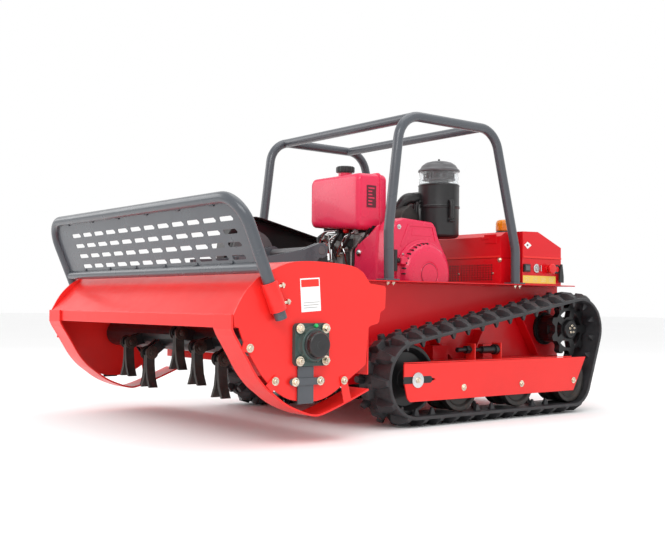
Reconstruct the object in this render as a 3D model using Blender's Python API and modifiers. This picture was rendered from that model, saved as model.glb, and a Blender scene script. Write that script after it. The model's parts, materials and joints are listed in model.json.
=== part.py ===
"""Tracked flail mulcher: crawler chassis with an air-cooled engine, roll cage and lifting flail head.

Metres, +Z up, ground at Z = 0. The head faces -Y. +X is the side with the recoil starter.
"""

import math

import bmesh
import bpy
from mathutils import Matrix, Vector

GAP = 0.0003                      # running gap between touching pieces

# Hull: an open tub with a flat flange along both sides
HULL_HALF = 0.305
HULL_WALL = 0.004
HULL_FRONT = -0.262
HULL_REAR = 0.810
HULL_FLOOR = 0.130
DECK_Z = 0.465
DECK_HALF = 0.390
BED_Z = 0.330                     # engine bed inside the tub

# Tracks
TRACK_X = 0.414                   # centre of each track
TRACK_HALF = 0.075
CARCASS = 0.012
LUG_HEIGHT = 0.024
LUG_PITCH = 0.070
LUG_ROOT = 0.046
LUG_CREST = 0.028
IDLER = (-0.092, 0.150)
SPROCKET = (0.728, 0.302)
ROLLERS = {"front": (0.117, 0.118), "middle": (0.402, 0.118), "rear": (0.686, 0.118)}
IDLER_BELT = 0.114                # belt inner radius round each wheel
SPROCKET_BELT = 0.104
ROLLER_BELT = 0.082
WHEEL_GAP = 0.0030

# Roll cage
CAGE_X = 0.365
CAGE_PIPE = 0.017
CAGE_TOP = 1.013
CAGE_CROSS_Y = (-0.010, 0.305)

# Control box
BOX_HALF = 0.375
BOX_NOSE = 0.326                  # half width ahead of the cage's rear posts
BOX_FRONT = 0.463
BOX_REAR = 0.744
BOX_SPLIT = 0.561
PANEL_Z = 0.525                   # row of controls on the +X wall
KEY_Y = 0.601
STOP_Y = 0.669
SOCKET_Y = 0.715

# Engine, crank along X
CRANK = (0.149, 0.493)            # Y, Z
RECOIL_X = (0.243, 0.282)
RECOIL_R = 0.100
FILTER = (0.170, 0.295)           # X, Y
FILTER_R = 0.070

# Head
HEAD_HALF = 0.593
PLATE = 0.005
ROTOR = (-0.606, 0.276)           # Y, Z
SHEET = 0.004
SKID_INNER = 0.503
SKID_THICK = 0.006
PIVOT = (-0.225, 0.566)           # head lift axis, Y, Z
PIVOT_X = 0.140
SHAFT_R = 0.015
GUARD_X = 0.614
GUARD_PIPE = 0.0165
GUARD_LEAN = math.atan(0.423)     # the guard leans forward
GUARD_FOOT = (-0.716, 0.346)
GUARD_TOP_Z = 0.667
GUARD_LOW_Z = 0.482
GUARD_CORNER = 0.090
SLOT_ROWS = 4
SLOT_COLUMNS = 12
SLOT_PITCH = 0.0868
SLOT_FIRST_X = -0.440
SLOT_LOW_Z = 0.511
SLOT_RISE = 0.034
SLOT_HALF = 0.031
SLOT_TALL = 0.011
FLAIL_RADIUS = 0.090
FLAIL_LENGTH = 0.112
FLAIL_HALF = 0.0150               # half the width of a knife along the direction of travel
LUG_EAR = 0.019
FLAILS = (                        # X, angle of the lug round the rotor
    (-0.440, -52),
    (-0.310, -165),
    (-0.190, -143),
    (0.030, 169),
    (0.143, -165),
    (0.255, -143),
)
ACTUATOR_FOOT = (-0.288, 0.190)
ACTUATOR_EYE = (-0.370, 0.520)
ACTUATOR_TUBE_R = 0.019

WELD = 1e-6                       # distance that joins a helper mesh's loose caps

COLOURS = {
    "head_red": ((0.82, 0.035, 0.025), 0.30, 0.0),
    "hull_red": ((0.62, 0.015, 0.018), 0.32, 0.0),
    "engine_red": ((0.55, 0.018, 0.065), 0.28, 0.0),
    "pipe_grey": ((0.085, 0.092, 0.102), 0.32, 0.2),
    "black_paint": ((0.012, 0.012, 0.013), 0.38, 0.0),
    "black_plastic": ((0.018, 0.018, 0.019), 0.45, 0.0),
    "grey_plastic": ((0.13, 0.13, 0.14), 0.40, 0.0),
    "track_rubber": ((0.055, 0.056, 0.060), 0.75, 0.0),
    "cast_iron": ((0.045, 0.060, 0.055), 0.55, 0.6),
    "cast_aluminium": ((0.42, 0.42, 0.41), 0.45, 0.9),
    "wheel_steel": ((0.060, 0.060, 0.062), 0.42, 0.6),
    "bright_steel": ((0.62, 0.61, 0.58), 0.25, 1.0),
    "clear_plastic": ((0.80, 0.83, 0.84), 0.08, 0.0),
    "amber_lens": ((0.90, 0.32, 0.01), 0.15, 0.0),
    "button_red": ((0.75, 0.01, 0.01), 0.30, 0.0),
}


def clear_scene():
    for obj in list(bpy.data.objects):
        bpy.data.objects.remove(obj, do_unlink=True)


def new_collection(name):
    made = bpy.data.collections.new(name)
    bpy.context.scene.collection.children.link(made)
    return made


clear_scene()
PARTS = new_collection("tracked_flail_mulcher")
CUTTERS = new_collection("cutters")
CUTTERS.hide_render = True


def material(slot):
    found = bpy.data.materials.get(slot)
    if found:
        return found
    colour, rough, metal = COLOURS[slot]
    made = bpy.data.materials.new(slot)
    made.use_nodes = True
    shader = made.node_tree.nodes["Principled BSDF"]
    shader.inputs["Base Color"].default_value = (*colour, 1.0)
    shader.inputs["Roughness"].default_value = rough
    shader.inputs["Metallic"].default_value = metal
    return made


# ---------------------------------------------------------------- shapes

def add_evaluated(bm, helper, turn):
    """Adds a helper object's finished mesh to bm, turned into place, and removes the helper."""
    CUTTERS.objects.link(helper)
    graph = bpy.context.evaluated_depsgraph_get()
    mesh = bpy.data.meshes.new_from_object(helper.evaluated_get(graph))
    piece = bmesh.new()
    piece.from_mesh(mesh)
    bmesh.ops.remove_doubles(piece, verts=piece.verts, dist=WELD)
    bmesh.ops.recalc_face_normals(piece, faces=piece.faces)
    piece.to_mesh(mesh)
    piece.free()
    mesh.transform(turn)
    if turn.determinant() < 0:
        mesh.flip_normals()
    bm.from_mesh(mesh)
    data = helper.data
    bpy.data.objects.remove(helper)
    bpy.data.batch_remove([mesh, data])


def axis_frame(axis):
    """The matrix that takes X, Y and Z to an outline's two coordinates and the axis it is drawn along."""
    if axis == "X":
        return Matrix(((0, 0, 1), (1, 0, 0), (0, 1, 0))).to_4x4()
    if axis == "Y":
        return Matrix(((1, 0, 0), (0, 0, 1), (0, 1, 0))).to_4x4()
    return Matrix.Identity(4)


def prism(bm, outline, axis, start, end, holes=()):
    """A flat outline, with any holes, drawn out along an axis."""
    curve = bpy.data.curves.new("outline", "CURVE")
    curve.dimensions = "2D"
    curve.fill_mode = "BOTH"
    curve.extrude = abs(end - start) / 2
    for loop in (outline, *holes):
        spline = curve.splines.new("POLY")
        spline.points.add(len(loop) - 1)
        for point, (u, v) in zip(spline.points, loop):
            point.co = (u, v, 0, 1)
        spline.use_cyclic_u = True
    helper = bpy.data.objects.new("outline", curve)
    shift = Matrix.Translation((0, 0, (start + end) / 2))
    add_evaluated(bm, helper, axis_frame(axis) @ shift)


def box(bm, x, y, z):
    middle = Vector(((x[0] + x[1]) / 2, (y[0] + y[1]) / 2, (z[0] + z[1]) / 2))
    size = Matrix.Diagonal((abs(x[1] - x[0]), abs(y[1] - y[0]), abs(z[1] - z[0]), 1))
    bmesh.ops.create_cube(bm, size=1, matrix=Matrix.Translation(middle) @ size)


def circle(centre, radius, count, turn=0.0):
    return [
        (
            centre[0] + radius * math.cos(math.tau * i / count + turn),
            centre[1] + radius * math.sin(math.tau * i / count + turn),
        )
        for i in range(count)
    ]


def arc(centre, radius, first, last, count):
    """Points on an arc, angles in degrees from the first coordinate towards the second."""
    angles = [math.radians(first + (last - first) * i / count) for i in range(count + 1)]
    return [(centre[0] + radius * math.cos(a), centre[1] + radius * math.sin(a)) for a in angles]


def turned(bm, profile, base, direction, count=24):
    """A profile of (distance along, radius) pairs spun round a line. Radius 0 closes an end."""
    mesh = bpy.data.meshes.new("profile")
    total = len(profile)
    edges = [(i, i + 1) for i in range(total - 1)]
    if profile[0][1] > 0:
        edges.append((total - 1, 0))
    mesh.from_pydata([(radius, 0, distance) for distance, radius in profile], edges, [])
    helper = bpy.data.objects.new("profile", mesh)
    screw = helper.modifiers.new("Screw", "SCREW")
    screw.steps = count
    screw.render_steps = count
    screw.use_merge_vertices = True
    screw.merge_threshold = WELD
    along = Vector(direction).normalized()
    side = along.orthogonal().normalized()
    turn = Matrix((side, along.cross(side), along)).transposed().to_4x4()
    add_evaluated(bm, helper, Matrix.Translation(base) @ turn)


def pipe(bm, path, radius, sides=12):
    """A round bar swept along a path, with flat ends."""
    curve = bpy.data.curves.new("centre_line", "CURVE")
    curve.dimensions = "3D"
    curve.bevel_depth = radius
    curve.bevel_resolution = (sides - 4) // 2
    curve.use_fill_caps = True
    spline = curve.splines.new("POLY")
    spline.points.add(len(path) - 1)
    for point, place in zip(spline.points, path):
        point.co = (*place, 1)
    helper = bpy.data.objects.new("centre_line", curve)
    add_evaluated(bm, helper, Matrix.Identity(4))


def strip(path, thickness):
    """The outline of a bent sheet: a path and the same path moved to its left by the thickness."""
    points = [Vector(p) for p in path]
    steps = [(b - a).normalized() for a, b in zip(points, points[1:])]
    inner = []
    for index, point in enumerate(points):
        before = steps[max(index - 1, 0)]
        after = steps[min(index, len(steps) - 1)]
        left_before = Vector((-before.y, before.x))
        left_after = Vector((-after.y, after.x))
        mean = (left_before + left_after).normalized()
        inner.append(point + mean * (thickness / mean.dot(left_before)))
    return [tuple(p) for p in points] + [tuple(p) for p in reversed(inner)]


def bar_outline(start, end, half):
    """A straight bar seen from the side, half the width given."""
    a = Vector(start)
    b = Vector(end)
    left = Vector((a.y - b.y, b.x - a.x)).normalized() * half
    return [tuple(a + left), tuple(a - left), tuple(b - left), tuple(b + left)]


def mesh_object(name, bm, slot, origin, collection, smooth):
    bmesh.ops.recalc_face_normals(bm, faces=bm.faces)
    mesh = bpy.data.meshes.new(name)
    bm.to_mesh(mesh)
    bm.free()
    mesh.transform(Matrix.Translation(-Vector(origin)))
    made = bpy.data.objects.new(name, mesh)
    made.location = origin
    collection.objects.link(made)
    if slot:
        mesh.materials.append(material(slot))
    if smooth:
        for face in mesh.polygons:
            face.use_smooth = True
    return made


def node(name, slot, draw, origin=(0, 0, 0), smooth=False):
    """One sub-part, drawn by the function given."""
    bm = bmesh.new()
    draw(bm)
    return mesh_object(name, bm, slot, origin, PARTS, smooth)


def tool(obj, draw, operation):
    bm = bmesh.new()
    draw(bm)
    helper = mesh_object(f"{obj.name}_tool", bm, None, (0, 0, 0), CUTTERS, False)
    helper.hide_render = True
    helper.display_type = "WIRE"
    step = obj.modifiers.new(operation.title(), "BOOLEAN")
    step.operation = operation
    step.solver = "EXACT"
    step.object = helper


def fuse(obj, draw):
    tool(obj, draw, "UNION")


def cut(obj, draw):
    tool(obj, draw, "DIFFERENCE")


# ---------------------------------------------------------------- hull

def make_hull():
    """An open tub whose side flanges carry the cage and the control box."""
    inside = HULL_HALF - HULL_WALL
    length = (HULL_FRONT, HULL_REAR)
    flange = (DECK_Z - HULL_WALL, DECK_Z)
    hull = node("hull", "hull_red", lambda bm: box(
        bm, (-HULL_HALF, HULL_HALF), length, (HULL_FLOOR, DECK_Z)
    ))
    fuse(hull, lambda bm: box(bm, (-DECK_HALF, DECK_HALF), length, flange))
    cut(hull, lambda bm: box(
        bm,
        (-inside, inside),
        (HULL_FRONT + HULL_WALL, HULL_REAR - HULL_WALL),
        (HULL_FLOOR + HULL_WALL, DECK_Z + 0.05),
    ))
    reach = HULL_HALF - HULL_WALL / 2
    fuse(hull, lambda bm: box(bm, (-reach, reach), (-0.02, 0.36), (BED_Z - 0.008, BED_Z)))
    fuse(hull, lambda bm: box(bm, (-reach, reach), (HULL_FRONT + 0.002, -0.150), (0.4585, 0.4635)))
    for side in (-1, 1):
        for start, end in ((0.106, 0.178), (0.352, 0.405)):
            outline = [(start, 0.250), (end, 0.250), (end, 0.196), (start, 0.196)]
            fuse(hull, lambda bm: prism(bm, outline, "X", side * (reach + 0.001), side * 0.3447))
        foot = [(-0.256, 0.176), (-0.256, 0.204)] + arc(ACTUATOR_FOOT, 0.014, 90, 270, 6)
        fuse(hull, lambda bm: prism(bm, foot, "X", side * 0.0135, side * 0.0215))
    pin = (-0.018, *ACTUATOR_FOOT)
    fuse(hull, lambda bm: turned(bm, [(0, 0), (0, 0.008), (0.036, 0.008), (0.036, 0)], pin, (1, 0, 0), 12))


def make_pivot_stands():
    """Two stands on the front deck that carry the jackshaft, which is also the head's lift axis."""
    base_z = 0.4635 + GAP
    stands = node("pivot_stands", "black_paint", lambda bm: box(
        bm, (-0.170, 0.170), (-0.256, -0.165), (base_z, base_z + 0.006)
    ))
    for side in (-1, 1):
        ear = [(-0.252, base_z + 0.003), (-0.180, base_z + 0.003)]
        ear += arc(PIVOT, 0.026, 20, 180, 8)
        hole = circle(PIVOT, SHAFT_R + GAP, 16)
        x = side * PIVOT_X
        fuse(stands, lambda bm: prism(bm, ear, "X", x - 0.006, x + 0.006, [hole]))


# ---------------------------------------------------------------- tracks

def track_path():
    """Lines and arcs of the belt's inner face, counter-clockwise as seen from +X."""
    wheels = [
        (Vector(IDLER), IDLER_BELT),
        (Vector(ROLLERS["rear"]), ROLLER_BELT),
        (Vector(SPROCKET), SPROCKET_BELT),
    ]
    tangents = []
    for (a, ra), (b, rb) in zip(wheels, wheels[1:] + wheels[:1]):
        gap = b - a
        heading = math.atan2(gap.y, gap.x)
        normal = heading - math.acos((ra - rb) / gap.length)
        tangents.append((normal, a, ra, b, rb))
    path = []
    for index, (normal, a, ra, b, rb) in enumerate(tangents):
        after = tangents[(index + 1) % len(tangents)][0]
        turn = (after - normal) % math.tau
        path.append(("line", a, ra, b, rb, normal))
        path.append(("arc", b, rb, normal, turn))
    return path


def track_point(path, distance, out):
    """The point at a distance round the belt's inner face, moved outwards by out."""
    for piece in path:
        if piece[0] == "line":
            _, a, ra, b, rb, normal = piece
            away = Vector((math.cos(normal), math.sin(normal)))
            start = a + away * ra
            length = (b + away * rb - start).length
            if distance <= length:
                return tuple(start.lerp(b + away * rb, distance / length) + away * out)
        else:
            _, centre, radius, first, turn = piece
            length = radius * turn
            if distance <= length:
                angle = first + distance / radius
                return tuple(centre + Vector((math.cos(angle), math.sin(angle))) * (radius + out))
        distance -= length
    raise ValueError("distance is past the end of the belt")


def track_length(path):
    total = 0.0
    for piece in path:
        if piece[0] == "line":
            away = Vector((math.cos(piece[5]), math.sin(piece[5])))
            total += (piece[3] + away * piece[4] - piece[1] - away * piece[2]).length
        else:
            total += piece[2] * piece[4]
    return total


def belt_inner(path):
    points = []
    for piece in path:
        if piece[0] == "arc":
            _, centre, radius, first, turn = piece
            points += arc(centre, radius, math.degrees(first), math.degrees(first + turn), 14)
    return points


def make_track_belt(name, side):
    path = track_path()
    total = track_length(path)
    count = round(total / LUG_PITCH)
    pitch = total / count
    outer = []
    for i in range(count):
        middle = (i + 0.5) * pitch
        for offset, out in (
            (-LUG_ROOT / 2, CARCASS),
            (-LUG_CREST / 2, CARCASS + LUG_HEIGHT),
            (LUG_CREST / 2, CARCASS + LUG_HEIGHT),
            (LUG_ROOT / 2, CARCASS),
        ):
            outer.append(track_point(path, middle + offset, out))
    inner = belt_inner(path)
    start = side * (TRACK_X - TRACK_HALF)
    end = side * (TRACK_X + TRACK_HALF)
    node(name, "track_rubber", lambda bm: prism(bm, outer, "X", start, end, [inner]))


def make_track_frame(name, side):
    """A folded channel that carries the rollers and, in its open front slot, the idler."""
    outer_x = 0.479
    plate = [
        (-0.148, 0.202),
        (-0.148, 0.154),
        (-0.020, 0.154),
        (-0.012, 0.150),
        (-0.020, 0.146),
        (-0.148, 0.146),
        (-0.133, 0.092),
        (-0.122, 0.082),
        (0.686, 0.082),
        (0.757, 0.202),
    ]
    frame = node(name, "head_red", lambda bm: prism(bm, plate, "X", side * (outer_x - 0.005), side * outer_x))
    fuse(frame, lambda bm: prism(bm, plate, "X", side * 0.345, side * 0.350))
    top = (0.0205, 0.610)
    fuse(frame, lambda bm: box(
        bm, tuple(sorted((side * 0.347, side * 0.477))), top, (0.1975, 0.2015)
    ))
    for y in (0.218, 0.348):
        fuse(frame, lambda bm: box(
            bm, tuple(sorted((side * 0.394, side * 0.434))), (y - 0.0025, y + 0.0025), (0.2000, 0.258)
        ))


def make_roller(name, side, centre):
    """A twin-flange bottom roller with its shaft ends close to the frame's two plates."""
    origin = (side * TRACK_X, *centre)
    tread = ROLLER_BELT - WHEEL_GAP
    profile = [
        (-0.0635, 0), (-0.0635, 0.018), (-0.050, 0.018), (-0.048, tread), (-0.020, tread), (-0.016, 0.060),
        (0.016, 0.060), (0.020, tread), (0.048, tread), (0.050, 0.018), (0.0595, 0.018), (0.0595, 0),
    ]
    profile = [(side * d, r) for d, r in profile]
    node(name, "wheel_steel", lambda bm: turned(bm, profile, origin, (1, 0, 0), 18), origin, True)


def make_idler(name, side):
    """A dished front wheel on a shaft that sits in the frame's open slot."""
    origin = (side * TRACK_X, *IDLER)
    tread = IDLER_BELT - WHEEL_GAP
    profile = [
        (-0.0635, 0), (-0.0635, 0.014), (-0.030, 0.028), (-0.008, 0.032), (-0.008, tread - 0.016),
        (-0.027, tread - 0.012), (-0.027, tread), (0.027, tread), (0.027, tread - 0.012),
        (0.008, tread - 0.016), (0.008, 0.032), (0.030, 0.028), (0.0595, 0.014), (0.0595, 0),
    ]
    profile = [(side * d, r) for d, r in profile]
    node(name, "black_paint", lambda bm: turned(bm, profile, origin, (1, 0, 0), 24), origin, True)


def sprocket_outline():
    points = []
    teeth = 9
    for i in range(teeth):
        middle = 360 / teeth * i
        for offset, radius in ((-15, 0.082), (-9, 0.090), (-6, 0.099), (6, 0.099), (9, 0.090), (15, 0.082)):
            turn = math.radians(middle + offset)
            points.append((SPROCKET[0] + radius * math.cos(turn), SPROCKET[1] + radius * math.sin(turn)))
    return points


def window(centre, first, last, low, high):
    """A kidney-shaped opening between two spokes, angles in degrees."""
    return arc(centre, high, first, last, 4) + arc(centre, low, last, first, 3)


def make_sprocket(name, side):
    origin = (side * TRACK_X, *SPROCKET)
    holes = [window(SPROCKET, a + 11, a + 61, 0.046, 0.068) for a in range(0, 360, 72)]
    x = side * TRACK_X
    wheel = node(
        name, "black_paint",
        lambda bm: prism(bm, sprocket_outline(), "X", x - 0.012, x + 0.012, holes), origin,
    )
    hub = [(-0.0325, 0), (-0.0325, 0.036), (0.020, 0.036), (0.028, 0.032), (0.028, 0)]
    hub = [(side * d, r) for d, r in hub]
    fuse(wheel, lambda bm: turned(bm, hub, origin, (1, 0, 0), 20))


def make_drive_motor(name, side):
    start = (side * (HULL_HALF + GAP), *SPROCKET)
    profile = [(0, 0), (0, 0.062), (0.010, 0.062), (0.010, 0.051), (0.060, 0.051), (0.070, 0.040), (0.0755, 0.040), (0.0755, 0)]
    node(
        name, "black_paint",
        lambda bm: turned(bm, profile, start, (side, 0, 0), 24), (0, 0, 0), True,
    )


def make_tensioner(name, side):
    """Grease cylinder and rod between the two upright brackets of the track frame."""
    start = (side * TRACK_X, 0.2208, 0.235)
    profile = [
        (0, 0), (0, 0.010), (0.014, 0.010), (0.014, 0.007), (0.046, 0.007), (0.046, 0.013),
        (0.108, 0.013), (0.108, 0.018), (0.1244, 0.018), (0.1244, 0),
    ]
    node(name, "black_paint", lambda bm: turned(bm, profile, start, (0, 1, 0), 16), (0, 0, 0), True)


# ---------------------------------------------------------------- cage and box

def make_roll_cage():
    foot_z = DECK_Z + 0.0045
    side_path = [(-0.118, foot_z), (-0.085, 0.915)]
    side_path += [(-0.080, 0.955), (-0.066, 0.985), (-0.042, 1.005), (-0.010, CAGE_TOP)]
    side_path += [(0.305, CAGE_TOP - 0.002), (0.345, 1.005), (0.375, 0.990), (0.397, 0.962), (0.408, 0.925)]
    side_path += [(0.495, foot_z)]
    cage = node("roll_cage", "pipe_grey", lambda bm: pipe(
        bm, [(CAGE_X, y, z) for y, z in side_path], CAGE_PIPE, 10
    ))
    fuse(cage, lambda bm: pipe(bm, [(-CAGE_X, y, z) for y, z in side_path], CAGE_PIPE, 10))
    for y in CAGE_CROSS_Y:
        fuse(cage, lambda bm: pipe(
            bm, [(-CAGE_X, y, CAGE_TOP - 0.003), (CAGE_X, y, CAGE_TOP - 0.003)], CAGE_PIPE - 0.001, 10
        ))
    for x in (-CAGE_X, CAGE_X):
        for y in (-0.118, 0.495):
            fuse(cage, lambda bm: box(
                bm, (x - 0.024, x + 0.024), (y - 0.030, y + 0.030), (DECK_Z + GAP, DECK_Z + 0.006)
            ))


def make_control_box():
    """An open-topped box. The wall on the +X side carries the switches and the socket."""
    split = BOX_SPLIT - GAP
    shoulder = BOX_FRONT + 0.062
    wall = 0.004
    low = DECK_Z + GAP
    body = node("control_box", "hull_red", lambda bm: box(
        bm, (-BOX_HALF, BOX_HALF), (shoulder, BOX_REAR), (low, split)
    ))
    fuse(body, lambda bm: box(bm, (-BOX_NOSE, BOX_NOSE), (BOX_FRONT, shoulder + 0.010), (low, split - 0.0005)))
    room = (low + wall, split + 0.02)
    cut(body, lambda bm: box(
        bm, (wall - BOX_HALF, BOX_HALF - wall), (shoulder + wall, BOX_REAR - wall), room
    ))
    cut(body, lambda bm: box(
        bm, (wall - BOX_NOSE, BOX_NOSE - wall), (BOX_FRONT + wall, shoulder + 0.020), room
    ))
    face = BOX_HALF - 0.003
    for y, radius, out in ((KEY_Y, 0.0115, 0.004), (STOP_Y, 0.0130, 0.006), (SOCKET_Y, 0.0140, 0.006)):
        collar = [(0, 0), (0, radius), (0.003 + out, radius), (0.003 + out, 0)]
        fuse(body, lambda bm: turned(bm, collar, (face, y, PANEL_Z), (1, 0, 0), 16))
    fuse(body, lambda bm: box(bm, (face, BOX_HALF + 0.006), (0.533, 0.557), (0.512, 0.538)))
    bore = [(-0.010, 0), (-0.010, 0.0095), (0.020, 0.0095), (0.020, 0)]
    cut(body, lambda bm: turned(bm, bore, (face, STOP_Y, PANEL_Z), (1, 0, 0), 16))


def make_lid():
    """The sloped lid. Its front part is narrower, so that it passes between the cage's rear posts."""
    below = BOX_SPLIT - 0.02
    front = BOX_FRONT + 0.062
    main = [(front, BOX_SPLIT), (front, 0.6578), (0.611, 0.660), (BOX_REAR, 0.606), (BOX_REAR, BOX_SPLIT)]
    nose = [(BOX_FRONT, BOX_SPLIT), (BOX_FRONT, 0.640), (0.490, 0.6565), (0.560, 0.6575), (0.560, BOX_SPLIT)]
    main_room = [(0.528, below), (0.528, 0.6545), (0.611, 0.6565), (0.741, 0.604), (0.741, below)]
    nose_room = [(0.466, below), (0.466, 0.6385), (0.491, 0.6530), (0.550, 0.6540), (0.550, below)]
    hinge = (0, BOX_REAR, BOX_SPLIT + 0.002)
    half = BOX_HALF
    lid = node("control_box_lid", "hull_red", lambda bm: prism(bm, main, "X", -half, half), hinge)
    fuse(lid, lambda bm: prism(bm, nose, "X", -BOX_NOSE, BOX_NOSE))
    cut(lid, lambda bm: prism(bm, main_room, "X", 0.003 - half, half - 0.003))
    cut(lid, lambda bm: prism(bm, nose_room, "X", 0.003 - BOX_NOSE, BOX_NOSE - 0.003))
    base = [(0, 0), (0, 0.030), (0.012, 0.030), (0.012, 0)]
    fuse(lid, lambda bm: turned(bm, base, (0.225, 0.600, 0.6575), (0, 0, 1), 20))


def make_controls():
    stop_at = (BOX_HALF - 0.004, STOP_Y, PANEL_Z)
    stop = [(0, 0), (0, 0.009), (0.020, 0.009), (0.020, 0.020), (0.027, 0.020), (0.030, 0.016), (0.030, 0)]
    node("emergency_stop", "button_red", lambda bm: turned(bm, stop, stop_at, (1, 0, 0), 20), stop_at, True)
    key_at = (BOX_HALF + 0.004 + GAP, KEY_Y, PANEL_Z)
    key = node("ignition_key", "bright_steel", lambda bm: turned(
        bm, [(0, 0), (0, 0.0085), (0.004, 0.0085), (0.004, 0)], key_at, (1, 0, 0), 16
    ), key_at)
    blade = (key_at[0] + 0.003, key_at[0] + 0.020)
    fuse(key, lambda bm: box(bm, blade, (KEY_Y - 0.0015, KEY_Y + 0.0015), (PANEL_Z - 0.011, PANEL_Z + 0.011)))
    hinge = (BOX_HALF + 0.0100, 0.733, 0.540)
    cap = [(0.721, 0.475), (0.745, 0.475), (0.745, 0.498), (0.737, 0.544), (0.729, 0.544), (0.721, 0.498)]
    node("socket_cap", "black_plastic", lambda bm: prism(bm, cap, "X", hinge[0] - 0.003, hinge[0] + 0.003), hinge)


def make_beacon():
    base = (0.225, 0.600, 0.6695 + GAP)
    lens = [(0, 0), (0, 0.036), (0.030, 0.036), (0.040, 0.031), (0.044, 0.020), (0.044, 0)]
    node("beacon_lens", "amber_lens", lambda bm: turned(bm, lens, base, (0, 0, 1), 24), (0, 0, 0), True)


# ---------------------------------------------------------------- engine

def make_engine_block():
    block = node("engine_block", "cast_aluminium", lambda bm: box(
        bm, (-0.130, 0.160), (0.040, 0.260), (BED_Z + GAP, 0.600)
    ))
    fuse(block, lambda bm: box(bm, (-0.070, 0.110), (0.010, 0.190), (0.590, 0.667)))
    fuse(block, lambda bm: box(bm, (-0.170, 0.190), (0.060, 0.240), (BED_Z + GAP, BED_Z + 0.020)))
    drum = [(0, 0), (0, 0.013), (0.132, 0.013), (0.132, 0.045), (0.165, 0.045), (0.165, 0)]
    fuse(block, lambda bm: turned(bm, drum, (-0.120, *CRANK), (-1, 0, 0), 20))
    fuse(block, lambda bm: pipe(bm, [(0.02, 0.18, 0.640), (0.05, 0.270, 0.700), (0.05, 0.330, 0.722)], 0.014, 10))


def make_blower_housing():
    outline = arc(CRANK, 0.128, -180, 20, 12)
    outline += [(0.262, 0.585), (0.221, 0.638), (0.205, 0.668), (0.040, 0.668), (0.015, 0.640), (0.018, 0.545)]
    start = 0.1603
    node("blower_housing", "engine_red", lambda bm: prism(bm, outline, "X", start, RECOIL_X[0] - GAP))


def make_recoil():
    base = (RECOIL_X[0], *CRANK)
    depth = RECOIL_X[1] - RECOIL_X[0]
    cover = [(0, 0), (0, 0.112), (0.006, 0.112), (0.008, RECOIL_R), (depth - 0.006, 0.092), (depth, 0.080), (depth, 0)]
    recoil = node("recoil_cover", "engine_red", lambda bm: turned(bm, cover, base, (1, 0, 0), 32))
    fuse(recoil, lambda bm: box(bm, (RECOIL_X[0], RECOIL_X[0] + 0.030), (0.028, 0.070), (0.523, 0.552)))
    handle_at = (RECOIL_X[0] + 0.015, 0.028 - GAP, 0.5375)
    grip = node("starter_handle", "black_plastic", lambda bm: turned(
        bm, [(0, 0), (0, 0.009), (0.014, 0.009), (0.014, 0)], handle_at, (0, -1, 0), 12
    ), handle_at)
    bar = [(-0.037, 0), (-0.037, 0.009), (0.037, 0.009), (0.037, 0)]
    fuse(grip, lambda bm: turned(bm, bar, (handle_at[0], 0.008, 0.5375), (0, 0, 1), 12))


def make_fuel_tank():
    front = -0.040
    side = [
        (front, 0.690), (front + 0.006, 0.676), (front + 0.020, 0.672), (0.066, 0.688), (0.082, 0.688),
        (0.082, 0.842), (0.066, 0.846), (0.020, 0.858), (front + 0.016, 0.854), (front + 0.003, 0.842),
    ]
    tank = node("fuel_tank", "engine_red", lambda bm: prism(bm, side, "X", -0.147, 0.120))
    bevel = tank.modifiers.new("Rounded", "BEVEL")
    bevel.width = 0.010
    bevel.segments = 2
    bevel.angle_limit = math.radians(60)
    neck = [(0, 0), (0, 0.022), (0.016, 0.022), (0.016, 0)]
    fuse(tank, lambda bm: turned(bm, neck, (-0.030, 0.022, 0.8500), (0, 0, 1), 20))
    cap_at = (-0.030, 0.022, 0.8660 + GAP)
    cap = [(0, 0), (0, 0.031), (0.018, 0.031), (0.022, 0.027), (0.022, 0)]
    node("fuel_cap", "black_plastic", lambda bm: turned(bm, cap, cap_at, (0, 0, 1), 24), cap_at, True)


def make_muffler():
    body = [(0, 0), (0, 0.045), (0.010, 0.057), (0.100, 0.057), (0.110, 0.045), (0.110, 0)]
    muffler = node("muffler", "black_paint", lambda bm: turned(
        bm, body, (-0.060, 0.395, 0.762), (1, 0, 0), 24
    ), (0, 0, 0), True)
    fuse(muffler, lambda bm: pipe(bm, [(0.0, 0.36, 0.745), (0.02, 0.36, 0.66), (0.02, 0.263, 0.60)], 0.013, 10))


def make_air_filter():
    x, y = FILTER
    body = [
        (0, 0), (0, FILTER_R - 0.004), (0.004, FILTER_R), (0.108, FILTER_R), (0.108, FILTER_R + 0.004),
        (0.114, FILTER_R + 0.004), (0.114, FILTER_R), (0.192, FILTER_R), (0.192, 0),
    ]
    canister = node("air_filter", "black_plastic", lambda bm: turned(
        bm, body, (x, y, 0.641), (0, 0, 1), 20
    ), (0, 0, 0), True)
    fuse(canister, lambda bm: pipe(
        bm, [(x - 0.05, y - 0.03, 0.795), (x - 0.09, y - 0.065, 0.790), (x - 0.118, y - 0.095, 0.750),
             (x - 0.125, y - 0.115, 0.6760)], 0.020, 12
    ))
    bowl = [(0, 0), (0, FILTER_R - 0.001), (0.060, FILTER_R - 0.002), (0.060, 0)]
    node("precleaner_bowl", "clear_plastic", lambda bm: turned(
        bm, bowl, (x, y, 0.833 + GAP), (0, 0, 1), 20
    ), (0, 0, 0), True)
    cap = [(0, 0), (0, FILTER_R + 0.003), (0.006, FILTER_R + 0.002), (0.018, 0.058), (0.026, 0.036), (0.029, 0.006), (0.033, 0.004), (0.033, 0)]
    node("precleaner_cap", "grey_plastic", lambda bm: turned(
        bm, cap, (x, y, 0.893 + 2 * GAP), (0, 0, 1), 20
    ), (0, 0, 0), True)


# ---------------------------------------------------------------- drive to the head

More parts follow.
